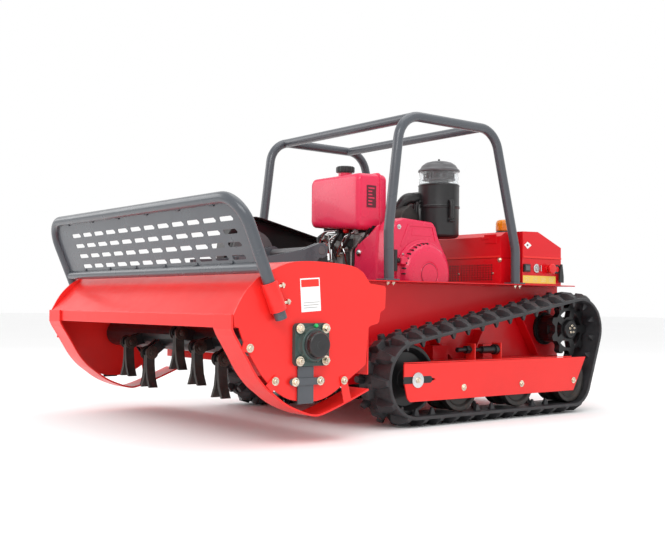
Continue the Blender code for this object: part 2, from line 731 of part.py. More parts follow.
def make_drive_pulley():
    """Twin-groove pulley on the jackshaft, which runs through both stands."""
    origin = (-0.252, *PIVOT)
    rim = 0.089
    profile = [
        (0, 0), (0, rim), (0.004, rim), (0.011, rim - 0.012), (0.018, rim), (0.023, rim),
        (0.030, rim - 0.012), (0.037, rim), (0.040, rim), (0.040, 0),
    ]
    pulley = node("drive_pulley", "grey_plastic", lambda bm: turned(bm, profile, origin, (-1, 0, 0), 24), origin)
    shaft = [(0, 0), (0, SHAFT_R), (0.416, SHAFT_R), (0.416, 0)]
    fuse(pulley, lambda bm: turned(bm, shaft, (-0.262, *PIVOT), (1, 0, 0), 16))


def make_belt_guard():
    """A sheet cover, open towards the engine, over the two pulleys and the belts between them."""
    centre = (-0.222, 0.568)
    deck = 0.468
    dip = 0.440
    outline = arc(centre, 0.137, 77.5, 226.8, 12)
    outline += [(-0.145, deck), (-0.115, dip), (0.128, dip), (0.128, 0.6275)]
    inside = arc(centre, 0.133, 77.5, 224, 12)
    inside += [(-0.143, deck + 0.005), (-0.113, dip + 0.004), (0.148, dip + 0.004), (0.148, 0.619)]
    guard = node("belt_guard", "black_paint", lambda bm: prism(bm, outline, "X", -0.2985, -0.245))
    cut(guard, lambda bm: prism(bm, inside, "X", -0.2945, -0.20))


# ---------------------------------------------------------------- head

HOOD_TOP = [
    (-0.853, 0.322), (-0.853, 0.357), (-0.742, 0.470), (-0.686, 0.495), (-0.640, 0.503), (-0.560, 0.504),
    (-0.457, 0.496), (-0.414, 0.478), (-0.392, 0.457), (-0.388, 0.185),
]
END_PLATE = [
    (-0.852, 0.357), (-0.850, 0.327), (-0.836, 0.3225), (-0.825, 0.294), (-0.802, 0.253), (-0.770, 0.206),
    (-0.751, 0.184), (-0.724, 0.158), (-0.687, 0.135), (-0.650, 0.124), (-0.596, 0.119), (-0.556, 0.125),
    (-0.517, 0.142), (-0.460, 0.178), (-0.403, 0.215), (-0.395, 0.320), (-0.352, 0.333), (-0.350, 0.365),
    (-0.330, 0.373), (-0.328, 0.442), (-0.388, 0.447), (-0.414, 0.478), (-0.457, 0.496), (-0.560, 0.504),
    (-0.640, 0.503), (-0.686, 0.495), (-0.734, 0.474), (-0.767, 0.460), (-0.805, 0.430), (-0.829, 0.400),
]
SKID = [
    (-0.860, 0.3585), (-0.860, 0.320), (-0.852, 0.304), (-0.839, 0.284), (-0.815, 0.246), (-0.786, 0.200),
    (-0.755, 0.165), (-0.727, 0.143), (-0.689, 0.116), (-0.650, 0.097), (-0.595, 0.079), (-0.556, 0.080),
    (-0.474, 0.107), (-0.389, 0.140),
]
SKID_TABS = (((-0.827, 0.2745), (-0.792, 0.260)), ((-0.741, 0.157), (-0.718, 0.190)), ((-0.472, 0.111), (-0.486, 0.183)))


def lean(height, out=0.0):
    """A point of the guard's plane at a height, moved out along the plane's normal."""
    y = GUARD_FOOT[0] - math.tan(GUARD_LEAN) * (height - GUARD_FOOT[1])
    return (y - out * math.cos(GUARD_LEAN), height - out * math.sin(GUARD_LEAN))


def make_hood():
    outline = strip(HOOD_TOP, -SHEET)
    half = HEAD_HALF - PLATE - 0.0005
    hood = node("hood", "head_red", lambda bm: prism(bm, outline, "X", -half, half))
    notch = ACTUATOR_TUBE_R + 0.018
    cut(hood, lambda bm: box(bm, (-notch, notch), (-0.400, -0.380), (0.150, 0.310)))


def make_end_plate(name, side):
    hole = circle(ROTOR, 0.030, 16)
    plate = node(name, "head_red", lambda bm: prism(
        bm, END_PLATE, "X", side * (HEAD_HALF - PLATE), side * HEAD_HALF, [hole]
    ))
    low = lean(0.368)
    high = lean(0.443)
    start = (side * GUARD_X, *low)
    direction = (0, high[0] - low[0], high[1] - low[1])
    length = math.dist(low, high)
    bore = GUARD_PIPE + GAP
    tube = [(0, bore), (0, 0.0225), (length, 0.0225), (length, bore)]
    fuse(plate, lambda bm: turned(bm, tube, start, direction, 20))


def make_skid(name, side):
    skid = node(name, "head_red", lambda bm: prism(
        bm, strip(SKID, SKID_THICK), "X", side * SKID_INNER, side * HEAD_HALF
    ))
    inner = HEAD_HALF - PLATE - GAP
    for foot, bolt in SKID_TABS:
        outline = bar_outline(foot, bolt, 0.014)
        fuse(skid, lambda bm: prism(bm, outline, "X", side * (inner - 0.005), side * inner))


def make_bearing(name, side):
    half = 0.0585
    corners = []
    for sy, sz in ((1, 1), (-1, 1), (-1, -1), (1, -1)):
        turn = {(1, 1): 0, (-1, 1): 90, (-1, -1): 180, (1, -1): 270}[(sy, sz)]
        centre = (ROTOR[0] + sy * (half - 0.014), ROTOR[1] + sz * (half - 0.014))
        corners += arc(centre, 0.014, turn, turn + 90, 3)
    start = HEAD_HALF + GAP
    bearing = node(name, "cast_iron", lambda bm: prism(bm, corners, "X", side * start, side * (start + 0.014)))
    boss = [(0.010, 0), (0.010, 0.047), (0.028, 0.044), (0.030, 0.036), (0.048, 0.035), (0.0515, 0.030), (0.0515, 0)]
    fuse(bearing, lambda bm: turned(bm, boss, (side * start, *ROTOR), (side, 0, 0), 28))
    bore = [(-0.01, 0), (-0.01, 0.0180), (0.030, 0.0180), (0.030, 0)]
    cut(bearing, lambda bm: turned(bm, bore, (side * start, *ROTOR), (side, 0, 0), 20))


def make_strap(name, side):
    start = HEAD_HALF + GAP
    span = tuple(sorted((side * start, side * (start + 0.006))))
    strap = node(name, "pipe_grey", lambda bm: box(bm, span, (-0.648, -0.595), (0.114, 0.215)))
    clamp = tuple(sorted((side * (start + 0.003), side * (start + 0.010))))
    fuse(strap, lambda bm: box(bm, clamp, (-0.674, -0.563), (0.165, 0.187)))


def guard_corner(side, count=5):
    """Centre line of a bent upper corner of the guard, from the leg to the top bar."""
    radius = GUARD_CORNER
    slope = 1 / math.cos(GUARD_LEAN)
    points = []
    for i in range(count + 1):
        turn = math.radians(90 * i / count)
        x = GUARD_X - radius + radius * math.cos(turn)
        up = (-radius + radius * math.sin(turn)) / slope
        points.append((side * x, *lean(GUARD_TOP_Z + up)))
    return points


def make_guard_frame():
    path = [(GUARD_X, *GUARD_FOOT)] + guard_corner(1)
    path += list(reversed(guard_corner(-1))) + [(-GUARD_X, *GUARD_FOOT)]
    frame = node("guard_frame", "pipe_grey", lambda bm: pipe(bm, path, GUARD_PIPE, 14))
    low = lean(GUARD_LOW_Z)
    fuse(frame, lambda bm: pipe(
        bm, [(-GUARD_X, *low), (GUARD_X, *low)], GUARD_PIPE - 0.0012, 14
    ))


def make_guard_panel():
    """The slotted sheet held between the guard's top bar and its cross pipe."""
    clear = GUARD_PIPE + 0.0025
    cosine = math.cos(GUARD_LEAN)
    radius = GUARD_CORNER - clear
    low = GUARD_LOW_Z + (GUARD_PIPE - 0.0008) * cosine
    bend = arc((GUARD_X - GUARD_CORNER, 0), radius, 0, 90, 4)
    top = [(x, GUARD_TOP_Z + (z - GUARD_CORNER) * cosine) for x, z in bend]
    half_x = GUARD_X - GUARD_PIPE - GAP
    right = [(half_x, low), (half_x, top[0][1] - 0.004)] + top
    outline = right + [(-x, z) for x, z in reversed(right)]
    holes = []
    for row in range(SLOT_ROWS):
        height = SLOT_LOW_Z + row * SLOT_RISE
        for column in range(SLOT_COLUMNS):
            x = SLOT_FIRST_X + column * SLOT_PITCH
            holes.append([
                (x - SLOT_HALF, height - SLOT_TALL / 2),
                (x + SLOT_HALF, height - SLOT_TALL / 2),
                (x + SLOT_HALF, height + SLOT_TALL / 2),
                (x - SLOT_HALF, height + SLOT_TALL / 2),
            ])
    panel = node("guard_panel", "pipe_grey", lambda bm: prism(bm, outline, "Y", -0.001, 0.001, holes))
    shear = Matrix.Identity(4)
    shear[1][2] = -math.tan(GUARD_LEAN)
    shear[1][3] = GUARD_FOOT[0] + math.tan(GUARD_LEAN) * GUARD_FOOT[1]
    panel.data.transform(shear)


def make_lift_frame():
    """Arms over the hood that pivot on the jackshaft, and the ears the actuator pushes on."""
    arm = [(-0.550, 0.5062), (-0.462, 0.5062), (-0.300, 0.505), (-0.262, 0.512)]
    arm += arc(PIVOT, 0.026, -110, 110, 8)
    arm += [(-0.300, 0.566), (-0.430, 0.540), (-0.550, 0.534)]
    hole = circle(PIVOT, SHAFT_R + GAP, 16)
    cross = (-0.412, 0.5215)
    frame = node("lift_frame", "pipe_grey", lambda bm: pipe(
        bm, [(-0.150, *cross), (0.150, *cross)], 0.014, 14
    ))
    for side in (-1, 1):
        for near, far in ((0.1262, 0.1337), (0.1463, 0.1538)):
            fuse(frame, lambda bm: prism(bm, arm, "X", side * near, side * far, [hole]))
        span = tuple(sorted((side * 0.130, side * 0.150)))
        fuse(frame, lambda bm: box(bm, span, (-0.545, -0.320), (0.520, 0.526)))
        ear = bar_outline(cross, ACTUATOR_EYE, 0.009)[:2] + arc(ACTUATOR_EYE, 0.015, -90, 90, 6)
        fuse(frame, lambda bm: prism(bm, ear, "X", side * 0.0135, side * 0.0215))
    pin = (-0.018, *ACTUATOR_EYE)
    fuse(frame, lambda bm: turned(bm, [(0, 0), (0, 0.008), (0.036, 0.008), (0.036, 0)], pin, (1, 0, 0), 12))


def make_actuator():
    foot = Vector((0, *ACTUATOR_FOOT))
    eye = Vector((0, *ACTUATOR_EYE))
    along = (eye - foot).normalized()
    reach = (eye - foot).length
    tube_profile = [
        (0.014, 0), (0.014, 0.012), (0.028, ACTUATOR_TUBE_R), (0.225, ACTUATOR_TUBE_R), (0.225, 0.0103),
        (0.040, 0.0103), (0.040, 0),
    ]
    ring = circle(ACTUATOR_FOOT, 0.016, 16)
    tube = node("actuator_tube", "black_paint", lambda bm: prism(
        bm, ring, "X", -0.0125, 0.0125, [circle(ACTUATOR_FOOT, 0.0083, 12)]
    ))
    fuse(tube, lambda bm: turned(bm, tube_profile, foot, along, 20))
    eye_ring = circle(ACTUATOR_EYE, 0.0195, 16)
    rod = node("actuator_rod", "bright_steel", lambda bm: prism(
        bm, eye_ring, "X", -0.0125, 0.0125, [circle(ACTUATOR_EYE, 0.0144, 16)]
    ), eye)
    bar = [(0.080, 0), (0.080, 0.010), (reach - 0.0150, 0.010), (reach - 0.0150, 0)]
    fuse(rod, lambda bm: turned(bm, bar, foot, along, 16))


def make_rotor():
    origin = (0, *ROTOR)
    half = HEAD_HALF + 0.022
    profile = [(-half, 0), (-half, 0.0175), (-0.570, 0.0175), (-0.570, 0.045), (0.570, 0.045), (0.570, 0.0175), (half, 0.0175), (half, 0)]
    rotor = node("rotor", "black_paint", lambda bm: turned(bm, profile, origin, (1, 0, 0), 20), origin)
    for x, degrees in FLAILS:
        turn = math.radians(degrees)
        out = Vector((math.cos(turn), math.sin(turn)))
        centre = Vector(ROTOR)
        tip = centre + out * FLAIL_RADIUS
        side = Vector((-out.y, out.x)) * 0.018
        root = centre + out * 0.030
        lug = [tuple(root - side), tuple(root + side)]
        first = degrees + 70
        lug += arc(tip, LUG_EAR, first, first - 140, 6)
        for near in (-0.0165, 0.0105):
            fuse(rotor, lambda bm: prism(bm, lug, "X", x + near, x + near + 0.006))
        pin = [(0, 0), (0, 0.006), (0.028, 0.006), (0.028, 0)]
        fuse(rotor, lambda bm: turned(bm, pin, (x - 0.014, tip.x, tip.y), (1, 0, 0), 10))


def make_flail(name, x, degrees):
    """A Y-shaped knife: an eye on the pin and two prongs that spread towards their tips."""
    turn = math.radians(degrees)
    y = ROTOR[0] + FLAIL_RADIUS * math.cos(turn)
    z = ROTOR[1] + FLAIL_RADIUS * math.sin(turn)
    origin = (x, y, z)
    down = z - FLAIL_LENGTH
    shape = [
        (x - 0.0098, z - 0.006), (x - 0.0098, z - 0.036), (x - 0.020, z - 0.075), (x - 0.032, down),
        (x - 0.024, down), (x - 0.013, z - 0.078), (x, z - 0.052), (x + 0.013, z - 0.078),
        (x + 0.024, down), (x + 0.032, down), (x + 0.020, z - 0.075), (x + 0.0098, z - 0.036),
        (x + 0.0098, z - 0.006),
    ]
    flail = node(name, "wheel_steel", lambda bm: prism(
        bm, circle((y, z), 0.013, 14), "X", x - 0.0098, x + 0.0098, [circle((y, z), 0.0068, 12)]
    ), origin)
    fuse(flail, lambda bm: prism(bm, [(u, v - 0.003) for u, v in shape], "Y", y - FLAIL_HALF, y + FLAIL_HALF))


def main():
    make_hull()
    make_pivot_stands()
    for side, word in ((1, "right"), (-1, "left")):
        make_track_frame(f"track_frame_{word}", side)
        make_track_belt(f"track_belt_{word}", side)
        make_drive_motor(f"drive_motor_{word}", side)
        make_sprocket(f"sprocket_{word}", side)
        make_idler(f"idler_{word}", side)
        make_tensioner(f"tensioner_{word}", side)
        for place_word, centre in ROLLERS.items():
            make_roller(f"roller_{place_word}_{word}", side, centre)
        make_end_plate(f"end_plate_{word}", side)
        make_skid(f"skid_{word}", side)
        make_bearing(f"bearing_{word}", side)
        make_strap(f"depth_strap_{word}", side)
    make_roll_cage()
    make_control_box()
    make_lid()
    make_controls()
    make_beacon()
    make_engine_block()
    make_blower_housing()
    make_recoil()
    make_fuel_tank()
    make_muffler()
    make_air_filter()
    make_drive_pulley()
    make_belt_guard()
    make_hood()
    make_guard_frame()
    make_guard_panel()
    make_lift_frame()
    make_actuator()
    make_rotor()
    for number, (x, degrees) in enumerate(FLAILS, 1):
        make_flail(f"flail_{number}", x, degrees)


main()
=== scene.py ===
"""Looks of the tracked flail mulcher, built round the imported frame. Metres, +Z up, head towards -Y."""

import json
import math

import bmesh
import bpy
from mathutils import Matrix, Vector


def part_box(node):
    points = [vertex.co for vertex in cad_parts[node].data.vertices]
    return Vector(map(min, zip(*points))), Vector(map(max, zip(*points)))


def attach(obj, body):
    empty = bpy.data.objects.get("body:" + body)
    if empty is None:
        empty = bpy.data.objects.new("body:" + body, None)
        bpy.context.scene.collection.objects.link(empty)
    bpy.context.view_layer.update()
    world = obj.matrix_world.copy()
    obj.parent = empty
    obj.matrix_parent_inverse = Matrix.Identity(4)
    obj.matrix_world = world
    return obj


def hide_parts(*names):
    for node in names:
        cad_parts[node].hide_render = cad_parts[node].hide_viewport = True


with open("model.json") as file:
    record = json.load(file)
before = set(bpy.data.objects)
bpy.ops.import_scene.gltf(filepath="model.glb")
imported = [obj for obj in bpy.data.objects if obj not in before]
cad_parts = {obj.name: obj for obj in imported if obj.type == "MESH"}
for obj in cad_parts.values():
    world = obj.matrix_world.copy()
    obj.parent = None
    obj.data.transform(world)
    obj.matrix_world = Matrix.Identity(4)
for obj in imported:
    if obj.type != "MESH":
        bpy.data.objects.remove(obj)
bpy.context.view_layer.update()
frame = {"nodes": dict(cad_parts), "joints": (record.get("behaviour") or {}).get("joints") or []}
NODES = frame["nodes"]

# ------------------------------------------------------------- driving places, read from the frame

def middle(name):
    """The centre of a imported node's box."""
    low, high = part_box(name)
    return (low + high) / 2


TRACK_X = middle("track_belt_right").x
TRACK_HALF = (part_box("track_belt_right")[1].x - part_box("track_belt_right")[0].x) / 2
SPROCKET = middle("drive_motor_right").yz
IDLER = middle("idler_right").yz
ROLLERS = {word: middle(f"roller_{word}_right").yz for word in ("front", "middle", "rear")}
ROTOR = middle("bearing_right").yz
HEAD_HALF = 0.593
DECK_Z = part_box("hull")[1].z
CRANK = Vector((0.149, 0.493))
# The guard leans forward about its foot, given as (y, z).
GUARD_LEAN = math.atan(0.423)
GUARD_FOOT = (-0.716, 0.346)
# Inner radius of the belt round each kind of wheel, its thickness and the height of its lugs.
BELT_RADII = {"idler": 0.114, "sprocket": 0.104, "roller": 0.082}
CARCASS = 0.012
LUG_HEIGHT = 0.024
SIDES = ((1, "right"), (-1, "left"))
SQUARE = ((-1, -1), (1, -1), (1, 1), (-1, 1))

# ------------------------------------------------------------- materials


class Shader:
    """A Principled material with a few procedural layers, in object space (metres)."""

    def __init__(self, name, colour, rough, metal=0.0, coat=0.0, coat_rough=0.1):
        self.material = bpy.data.materials.new(name)
        self.material.use_nodes = True
        self.nodes = self.material.node_tree.nodes
        self.links = self.material.node_tree.links
        self.base = self.nodes["Principled BSDF"]
        self.colour = (*colour, 1.0)
        self.base.inputs["Base Color"].default_value = self.colour
        self.base.inputs["Roughness"].default_value = rough
        self.base.inputs["Metallic"].default_value = metal
        self.base.inputs["Coat Weight"].default_value = coat
        self.base.inputs["Coat Roughness"].default_value = coat_rough
        self.place = self.nodes.new("ShaderNodeTexCoord").outputs["Object"]
        self.rough = rough

    def noise(self, scale, detail=4.0, rough=0.55, stretch=None):
        source = self.place
        if stretch:
            mapping = self.nodes.new("ShaderNodeMapping")
            mapping.inputs["Scale"].default_value = stretch
            self.links.new(source, mapping.inputs["Vector"])
            source = mapping.outputs["Vector"]
        made = self.nodes.new("ShaderNodeTexNoise")
        made.inputs["Scale"].default_value = scale
        made.inputs["Detail"].default_value = detail
        made.inputs["Roughness"].default_value = rough
        self.links.new(source, made.inputs["Vector"])
        return made.outputs["Fac"]

    def ramp(self, value, stops):
        made = self.nodes.new("ShaderNodeValToRGB")
        elements = made.color_ramp.elements
        for index, (at, colour) in enumerate(stops):
            element = elements[index] if index < len(elements) else elements.new(at)
            element.position = at
            element.color = (*colour, 1.0) if len(colour) == 3 else (colour[0],) * 3 + (1.0,)
        self.links.new(value, made.inputs["Fac"])
        return made.outputs["Color"]

    def span(self, value, low, high):
        made = self.nodes.new("ShaderNodeMapRange")
        made.inputs["From Min"].default_value = 0.3
        made.inputs["From Max"].default_value = 0.7
        made.inputs["To Min"].default_value = low
        made.inputs["To Max"].default_value = high
        self.links.new(value, made.inputs["Value"])
        return made.outputs["Result"]

    def vary_colour(self, scale, amount, detail=4.0, stretch=None):
        """Colour that drifts a little lighter and darker."""
        dark = tuple(c * (1 - amount) for c in self.colour[:3])
        light = tuple(min(c * (1 + amount), 1.0) for c in self.colour[:3])
        drift = self.ramp(self.noise(scale, detail, stretch=stretch), ((0.3, dark), (0.7, light)))
        self.links.new(drift, self.base.inputs["Base Color"])
        return self

    def vary_rough(self, scale, amount, stretch=None):
        value = self.span(self.noise(scale, stretch=stretch), self.rough - amount, self.rough + amount)
        self.links.new(value, self.base.inputs["Roughness"])
        return self

    def bump(self, scale, height, detail=3.0, stretch=None, strength=1.0):
        made = self.nodes.new("ShaderNodeBump")
        made.inputs["Distance"].default_value = height
        made.inputs["Strength"].default_value = strength
        self.links.new(self.noise(scale, detail, stretch=stretch), made.inputs["Height"])
        before = self.base.inputs["Normal"].links
        if before:
            self.links.new(before[0].from_socket, made.inputs["Normal"])
        self.links.new(made.outputs["Normal"], self.base.inputs["Normal"])
        return self

    def dust(self, colour, amount, scale=9.0):
        """Thin patches of dust or wear over the base colour."""
        mask = self.ramp(self.noise(scale, 8.0, 0.7), ((0.50, (0.0,)), (0.78, (amount,))))
        mix = self.nodes.new("ShaderNodeMix")
        mix.data_type = "RGBA"
        mix.inputs["B"].default_value = (*colour, 1.0)
        mix.inputs["A"].default_value = self.colour
        before = self.base.inputs["Base Color"].links
        if before:
            self.links.new(before[0].from_socket, mix.inputs["A"])
        self.links.new(mask, mix.inputs["Factor"])
        self.links.new(mix.outputs["Result"], self.base.inputs["Base Color"])
        return self


def paint(name, colour, rough=0.26, coat=0.5, grain=0.00012):
    """Sprayed paint with faint drift in colour, a fine grain and a little wear."""
    made = Shader(name, colour, rough, 0.0, coat, 0.08)
    made.base.inputs["Specular IOR Level"].default_value = 0.30
    made.vary_colour(3.0, 0.06).vary_rough(14.0, 0.05).bump(260.0, grain)
    return made.dust(tuple(c * 0.75 for c in colour), 0.12, 40.0).material


def make_materials():
    """Every finish, by the name that pieces ask for."""
    made = {
        "head_red": paint("head_red_paint", (0.83, 0.024, 0.020), 0.34, 0.12),
        "hull_red": paint("hull_red_paint", (0.68, 0.004, 0.010), 0.34, 0.12),
        "engine_red": paint("engine_red_paint", (0.74, 0.024, 0.085), 0.28, 0.30),
        "pipe_grey": paint("pipe_grey_paint", (0.072, 0.080, 0.092), 0.30, 0.35, 0.00003),
        "black_paint": paint("black_satin_paint", (0.012, 0.012, 0.013), 0.34, 0.2),
        "bearing_green": paint("bearing_green_paint", (0.045, 0.075, 0.068), 0.42, 0.15, 0.0004),
        "button_red": paint("button_red_plastic", (0.72, 0.008, 0.010), 0.24, 0.4, 0.00003),
        "yellow": paint("yellow_sticker", (0.86, 0.60, 0.10), 0.45, 0.1, 0.00003),
        "white": paint("white_sticker", (0.86, 0.86, 0.84), 0.42, 0.15, 0.00003),
        "sticker_red": paint("red_sticker", (0.75, 0.03, 0.02), 0.42, 0.15, 0.00003),
        "sticker_grey": paint("grey_sticker", (0.40, 0.40, 0.40), 0.42, 0.15, 0.00003),
        "sticker_dark": paint("dark_sticker", (0.10, 0.012, 0.022), 0.42, 0.15, 0.00003),
    }
    plastic = Shader("black_moulded_plastic", (0.012, 0.012, 0.013), 0.36)
    made["black_plastic"] = plastic.vary_colour(30, 0.15).vary_rough(40, 0.06).bump(900, 0.00006).material
    grey = Shader("grey_moulded_plastic", (0.10, 0.10, 0.105), 0.36)
    made["grey_plastic"] = grey.vary_colour(20, 0.10).vary_rough(30, 0.06).bump(900, 0.00005).material
    rubber = Shader("track_rubber_worn", (0.024, 0.024, 0.027), 0.50)
    rubber.vary_colour(28, 0.30, 6.0).vary_rough(22, 0.12).bump(150, 0.0006).bump(900, 0.0002)
    made["track_rubber"] = rubber.dust((0.085, 0.080, 0.078), 0.35, 16.0).material
    cast = Shader("cast_aluminium_raw", (0.42, 0.42, 0.41), 0.44, 0.85)
    made["cast_aluminium"] = cast.vary_colour(25, 0.25, 6.0).vary_rough(30, 0.12).bump(420, 0.0004).material
    iron = Shader("dark_cast_iron", (0.055, 0.052, 0.050), 0.55, 0.7)
    iron.vary_colour(30, 0.30).vary_rough(30, 0.12).bump(300, 0.0004)
    made["wheel_steel"] = iron.dust((0.16, 0.09, 0.05), 0.30, 20.0).material
    rust = Shader("rusty_steel", (0.075, 0.058, 0.050), 0.42, 0.8)
    made["rusty_steel"] = rust.vary_colour(60, 0.35).vary_rough(60, 0.12).bump(400, 0.0003).material
    zinc = Shader("yellow_zinc", (0.72, 0.64, 0.52), 0.26, 1.0)
    made["zinc"] = zinc.vary_colour(60, 0.22).vary_rough(80, 0.08).bump(600, 0.00005).material
    steel = Shader("bright_steel_turned", (0.66, 0.66, 0.66), 0.22, 1.0)
    steel.vary_colour(40, 0.12).vary_rough(40, 0.06, (1, 12, 1)).bump(500, 0.00004, stretch=(1, 10, 1))
    made["bright_steel"] = steel.material
    amber = Shader("amber_lens_plastic", (0.95, 0.30, 0.008), 0.12, 0.0, 0.5)
    amber.base.inputs["Transmission Weight"].default_value = 0.35
    amber.base.inputs["IOR"].default_value = 1.49
    made["amber_lens"] = amber.vary_colour(40, 0.12).bump(300, 0.0003).material
    clear = Shader("clear_bowl_plastic", (0.95, 0.97, 0.98), 0.05)
    clear.base.inputs["Transmission Weight"].default_value = 0.95
    clear.base.inputs["IOR"].default_value = 1.30
    made["clear_plastic"] = clear.vary_rough(30, 0.03).bump(60, 0.0002).material
    green = Shader("green_cap_plastic", (0.02, 0.45, 0.12), 0.35)
    made["green"] = green.vary_colour(50, 0.1).bump(500, 0.0001).material
    copper = Shader("copper_pipe", (0.62, 0.30, 0.16), 0.32, 1.0)
    made["copper"] = copper.vary_colour(60, 0.15).vary_rough(60, 0.08).material
    return made


MATERIALS = make_materials()
# Finishes that share a slot of the record with another finish.
CAST_SLOTS = {"bearing_green": "cast_iron", "zinc": "bright_steel", "green": "black_plastic"}
CAST_SLOTS |= {
    "yellow": "hull_red", "white": "head_red", "sticker_red": "head_red", "sticker_grey": "head_red",
}
CAST_SLOTS |= {"rusty_steel": "wheel_steel"}
CAST_SLOTS |= {"sticker_dark": "engine_red", "copper": "bright_steel"}

# ------------------------------------------------------------- mesh helpers


def shade(obj, angle=38):
    """Smooth shading with sharp edges kept."""
    mesh = obj.data
    mesh.polygons.foreach_set("use_smooth", [True] * len(mesh.polygons))
    mesh.set_sharp_from_angle(angle=math.radians(angle))


def round_edges(obj, width, segments=2, angle=32):
    """Softens the edges sharper than the angle."""
    step = obj.modifiers.new("Edges", "BEVEL")
    step.width = width
    step.segments = segments
    step.limit_method = "ANGLE"
    step.angle_limit = math.radians(angle)
    step.harden_normals = True
    step.use_clamp_overlap = True


def finish_piece(name, bm, body, look, edge=0.0, angle=38, stands_for=()):
    """Turns a bmesh into a piece that rides on a body."""
    bmesh.ops.remove_doubles(bm, verts=bm.verts, dist=1e-6)
    bmesh.ops.recalc_face_normals(bm, faces=bm.faces)
    mesh = bpy.data.meshes.new(name)
    bm.to_mesh(mesh)
    bm.free()
    obj = bpy.data.objects.new(name, mesh)
    bpy.context.scene.collection.objects.link(obj)
    mesh.materials.append(MATERIALS[look])
    shade(obj, angle)
    if edge:
        round_edges(obj, edge)
    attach(obj, body)
    CAST_SLOTS.get(look, look)
    if stands_for:
        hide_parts(*stands_for)
    return obj


def place(axis, along, u, v):
    """A point at a distance along an axis, with its other two coordinates in order."""
    if axis == "X":
        return Vector((along, u, v))
    if axis == "Y":
        return Vector((u, along, v))
    return Vector((u, v, along))


def join_rings(bm, low, high):
    """Four-sided faces between two closed rings of the same length."""
    for i in range(len(low)):
        j = (i + 1) % len(low)
        bm.faces.new((low[i], low[j], high[j], high[i]))


def solid_between(bm, low_points, high_points):
    """A closed solid from two matching outlines."""
    low = [bm.verts.new(point) for point in low_points]
    high = [bm.verts.new(point) for point in high_points]
    bm.faces.new(low)
    bm.faces.new(high)
    join_rings(bm, low, high)


def prism(bm, outline, axis, start, end, holes=()):
    """A flat outline, with any holes, drawn out along an axis."""
    ends = []
    for along in (start, end):
        rings = [[bm.verts.new(place(axis, along, u, v)) for u, v in loop] for loop in (outline, *holes)]
        ends.append(rings)
        if holes:
            edges = [
                bm.edges.new((ring[i], ring[(i + 1) % len(ring)])) for ring in rings for i in range(len(ring))
            ]
            bmesh.ops.triangle_fill(bm, use_beauty=True, edges=edges)
        else:
            bm.faces.new(rings[0])
    for low, high in zip(*ends):
        join_rings(bm, low, high)


def block(bm, x, y, z):
    """A box from three (low, high) pairs."""
    prism(bm, [(x[0], y[0]), (x[1], y[0]), (x[1], y[1]), (x[0], y[1])], "Z", z[0], z[1])


def frame_of(direction):
    """The direction and two unit vectors across it."""
    along = Vector(direction).normalized()
    side = along.orthogonal().normalized()
    if abs(along.z) < 0.99:
        side = along.cross(Vector((0, 0, 1))).normalized()
    return along, side, along.cross(side)


def turned(bm, profile, base, direction, count=48, wave=None):
    """A profile of (distance along, radius) spun round a line. wave(turn) scales the radius."""
    along, side, other = frame_of(direction)
    rings = []
    for distance, radius in profile:
        centre = Vector(base) + along * distance
        if radius == 0:
            rings.append([bm.verts.new(centre)])
            continue
        ring = []
        for i in range(count):
            turn = math.tau * i / count
            reach = radius * (wave(turn) if wave else 1.0)
            ring.append(bm.verts.new(centre + (side * math.cos(turn) + other * math.sin(turn)) * reach))
        rings.append(ring)
    pairs = list(zip(rings, rings[1:]))
    if len(rings[0]) > 1:
        pairs.append((rings[-1], rings[0]))
    for low, high in pairs:
        for i in range(count):
            j = (i + 1) % count
            corners = [low[i % len(low)], low[j % len(low)], high[j % len(high)], high[i % len(high)]]
            corners = list(dict.fromkeys(corners))
            if len(corners) > 2:
                bm.faces.new(corners)


def puck(bm, at, along, radius, height, count, edge=0):
    """A short round cylinder, its rims rounded where an edge radius is given."""
    profile = [(0, 0), (0, radius), (height, radius), (height, 0)]
    turned(bm, rounded(profile, edge) if edge else profile, at, along, count)


def rounded(profile, radius=0.002, steps=3):
    """Rounds the corners of a turned profile that aren't on its axis."""
    points = [Vector(p) for p in profile]
    made = [points[0]]
    for before, here, after in zip(points, points[1:], points[2:]):
        if here.y == 0:
            made.append(here)
            continue
        a = (before - here)
        b = (after - here)
        cut = min(radius, a.length * 0.45, b.length * 0.45)
        start = here + a.normalized() * cut
        end = here + b.normalized() * cut
        for i in range(steps + 1):
            t = i / steps
            made.append(start * (1 - t) ** 2 + here * 2 * t * (1 - t) + end * t ** 2)
    made.append(points[-1])
    return [tuple(p) for p in made]


def sweep(bm, path, radius, sides=20):
    """A round bar along a path of points, mitred at each one."""
    points = [Vector(p) for p in path]
    steps = [(b - a).normalized() for a, b in zip(points, points[1:])]
    tangents = [steps[0]] + [(a + b).normalized() for a, b in zip(steps, steps[1:])] + [steps[-1]]
    side = steps[0].orthogonal().normalized()
    rings = []
    for index, (point, tangent) in enumerate(zip(points, tangents)):
        before = steps[max(index - 1, 0)]
        side = (side - before * side.dot(before)).normalized()
        other = before.cross(side)
        ring = []
        for i in range(sides):
            turn = math.tau * i / sides
            offset = (side * math.cos(turn) + other * math.sin(turn)) * radius
            ring.append(bm.verts.new(point + offset - before * (offset.dot(tangent) / before.dot(tangent))))
        rings.append(ring)
    bm.faces.new(rings[0])
    bm.faces.new(rings[-1])
    for low, high in zip(rings, rings[1:]):
        join_rings(bm, low, high)


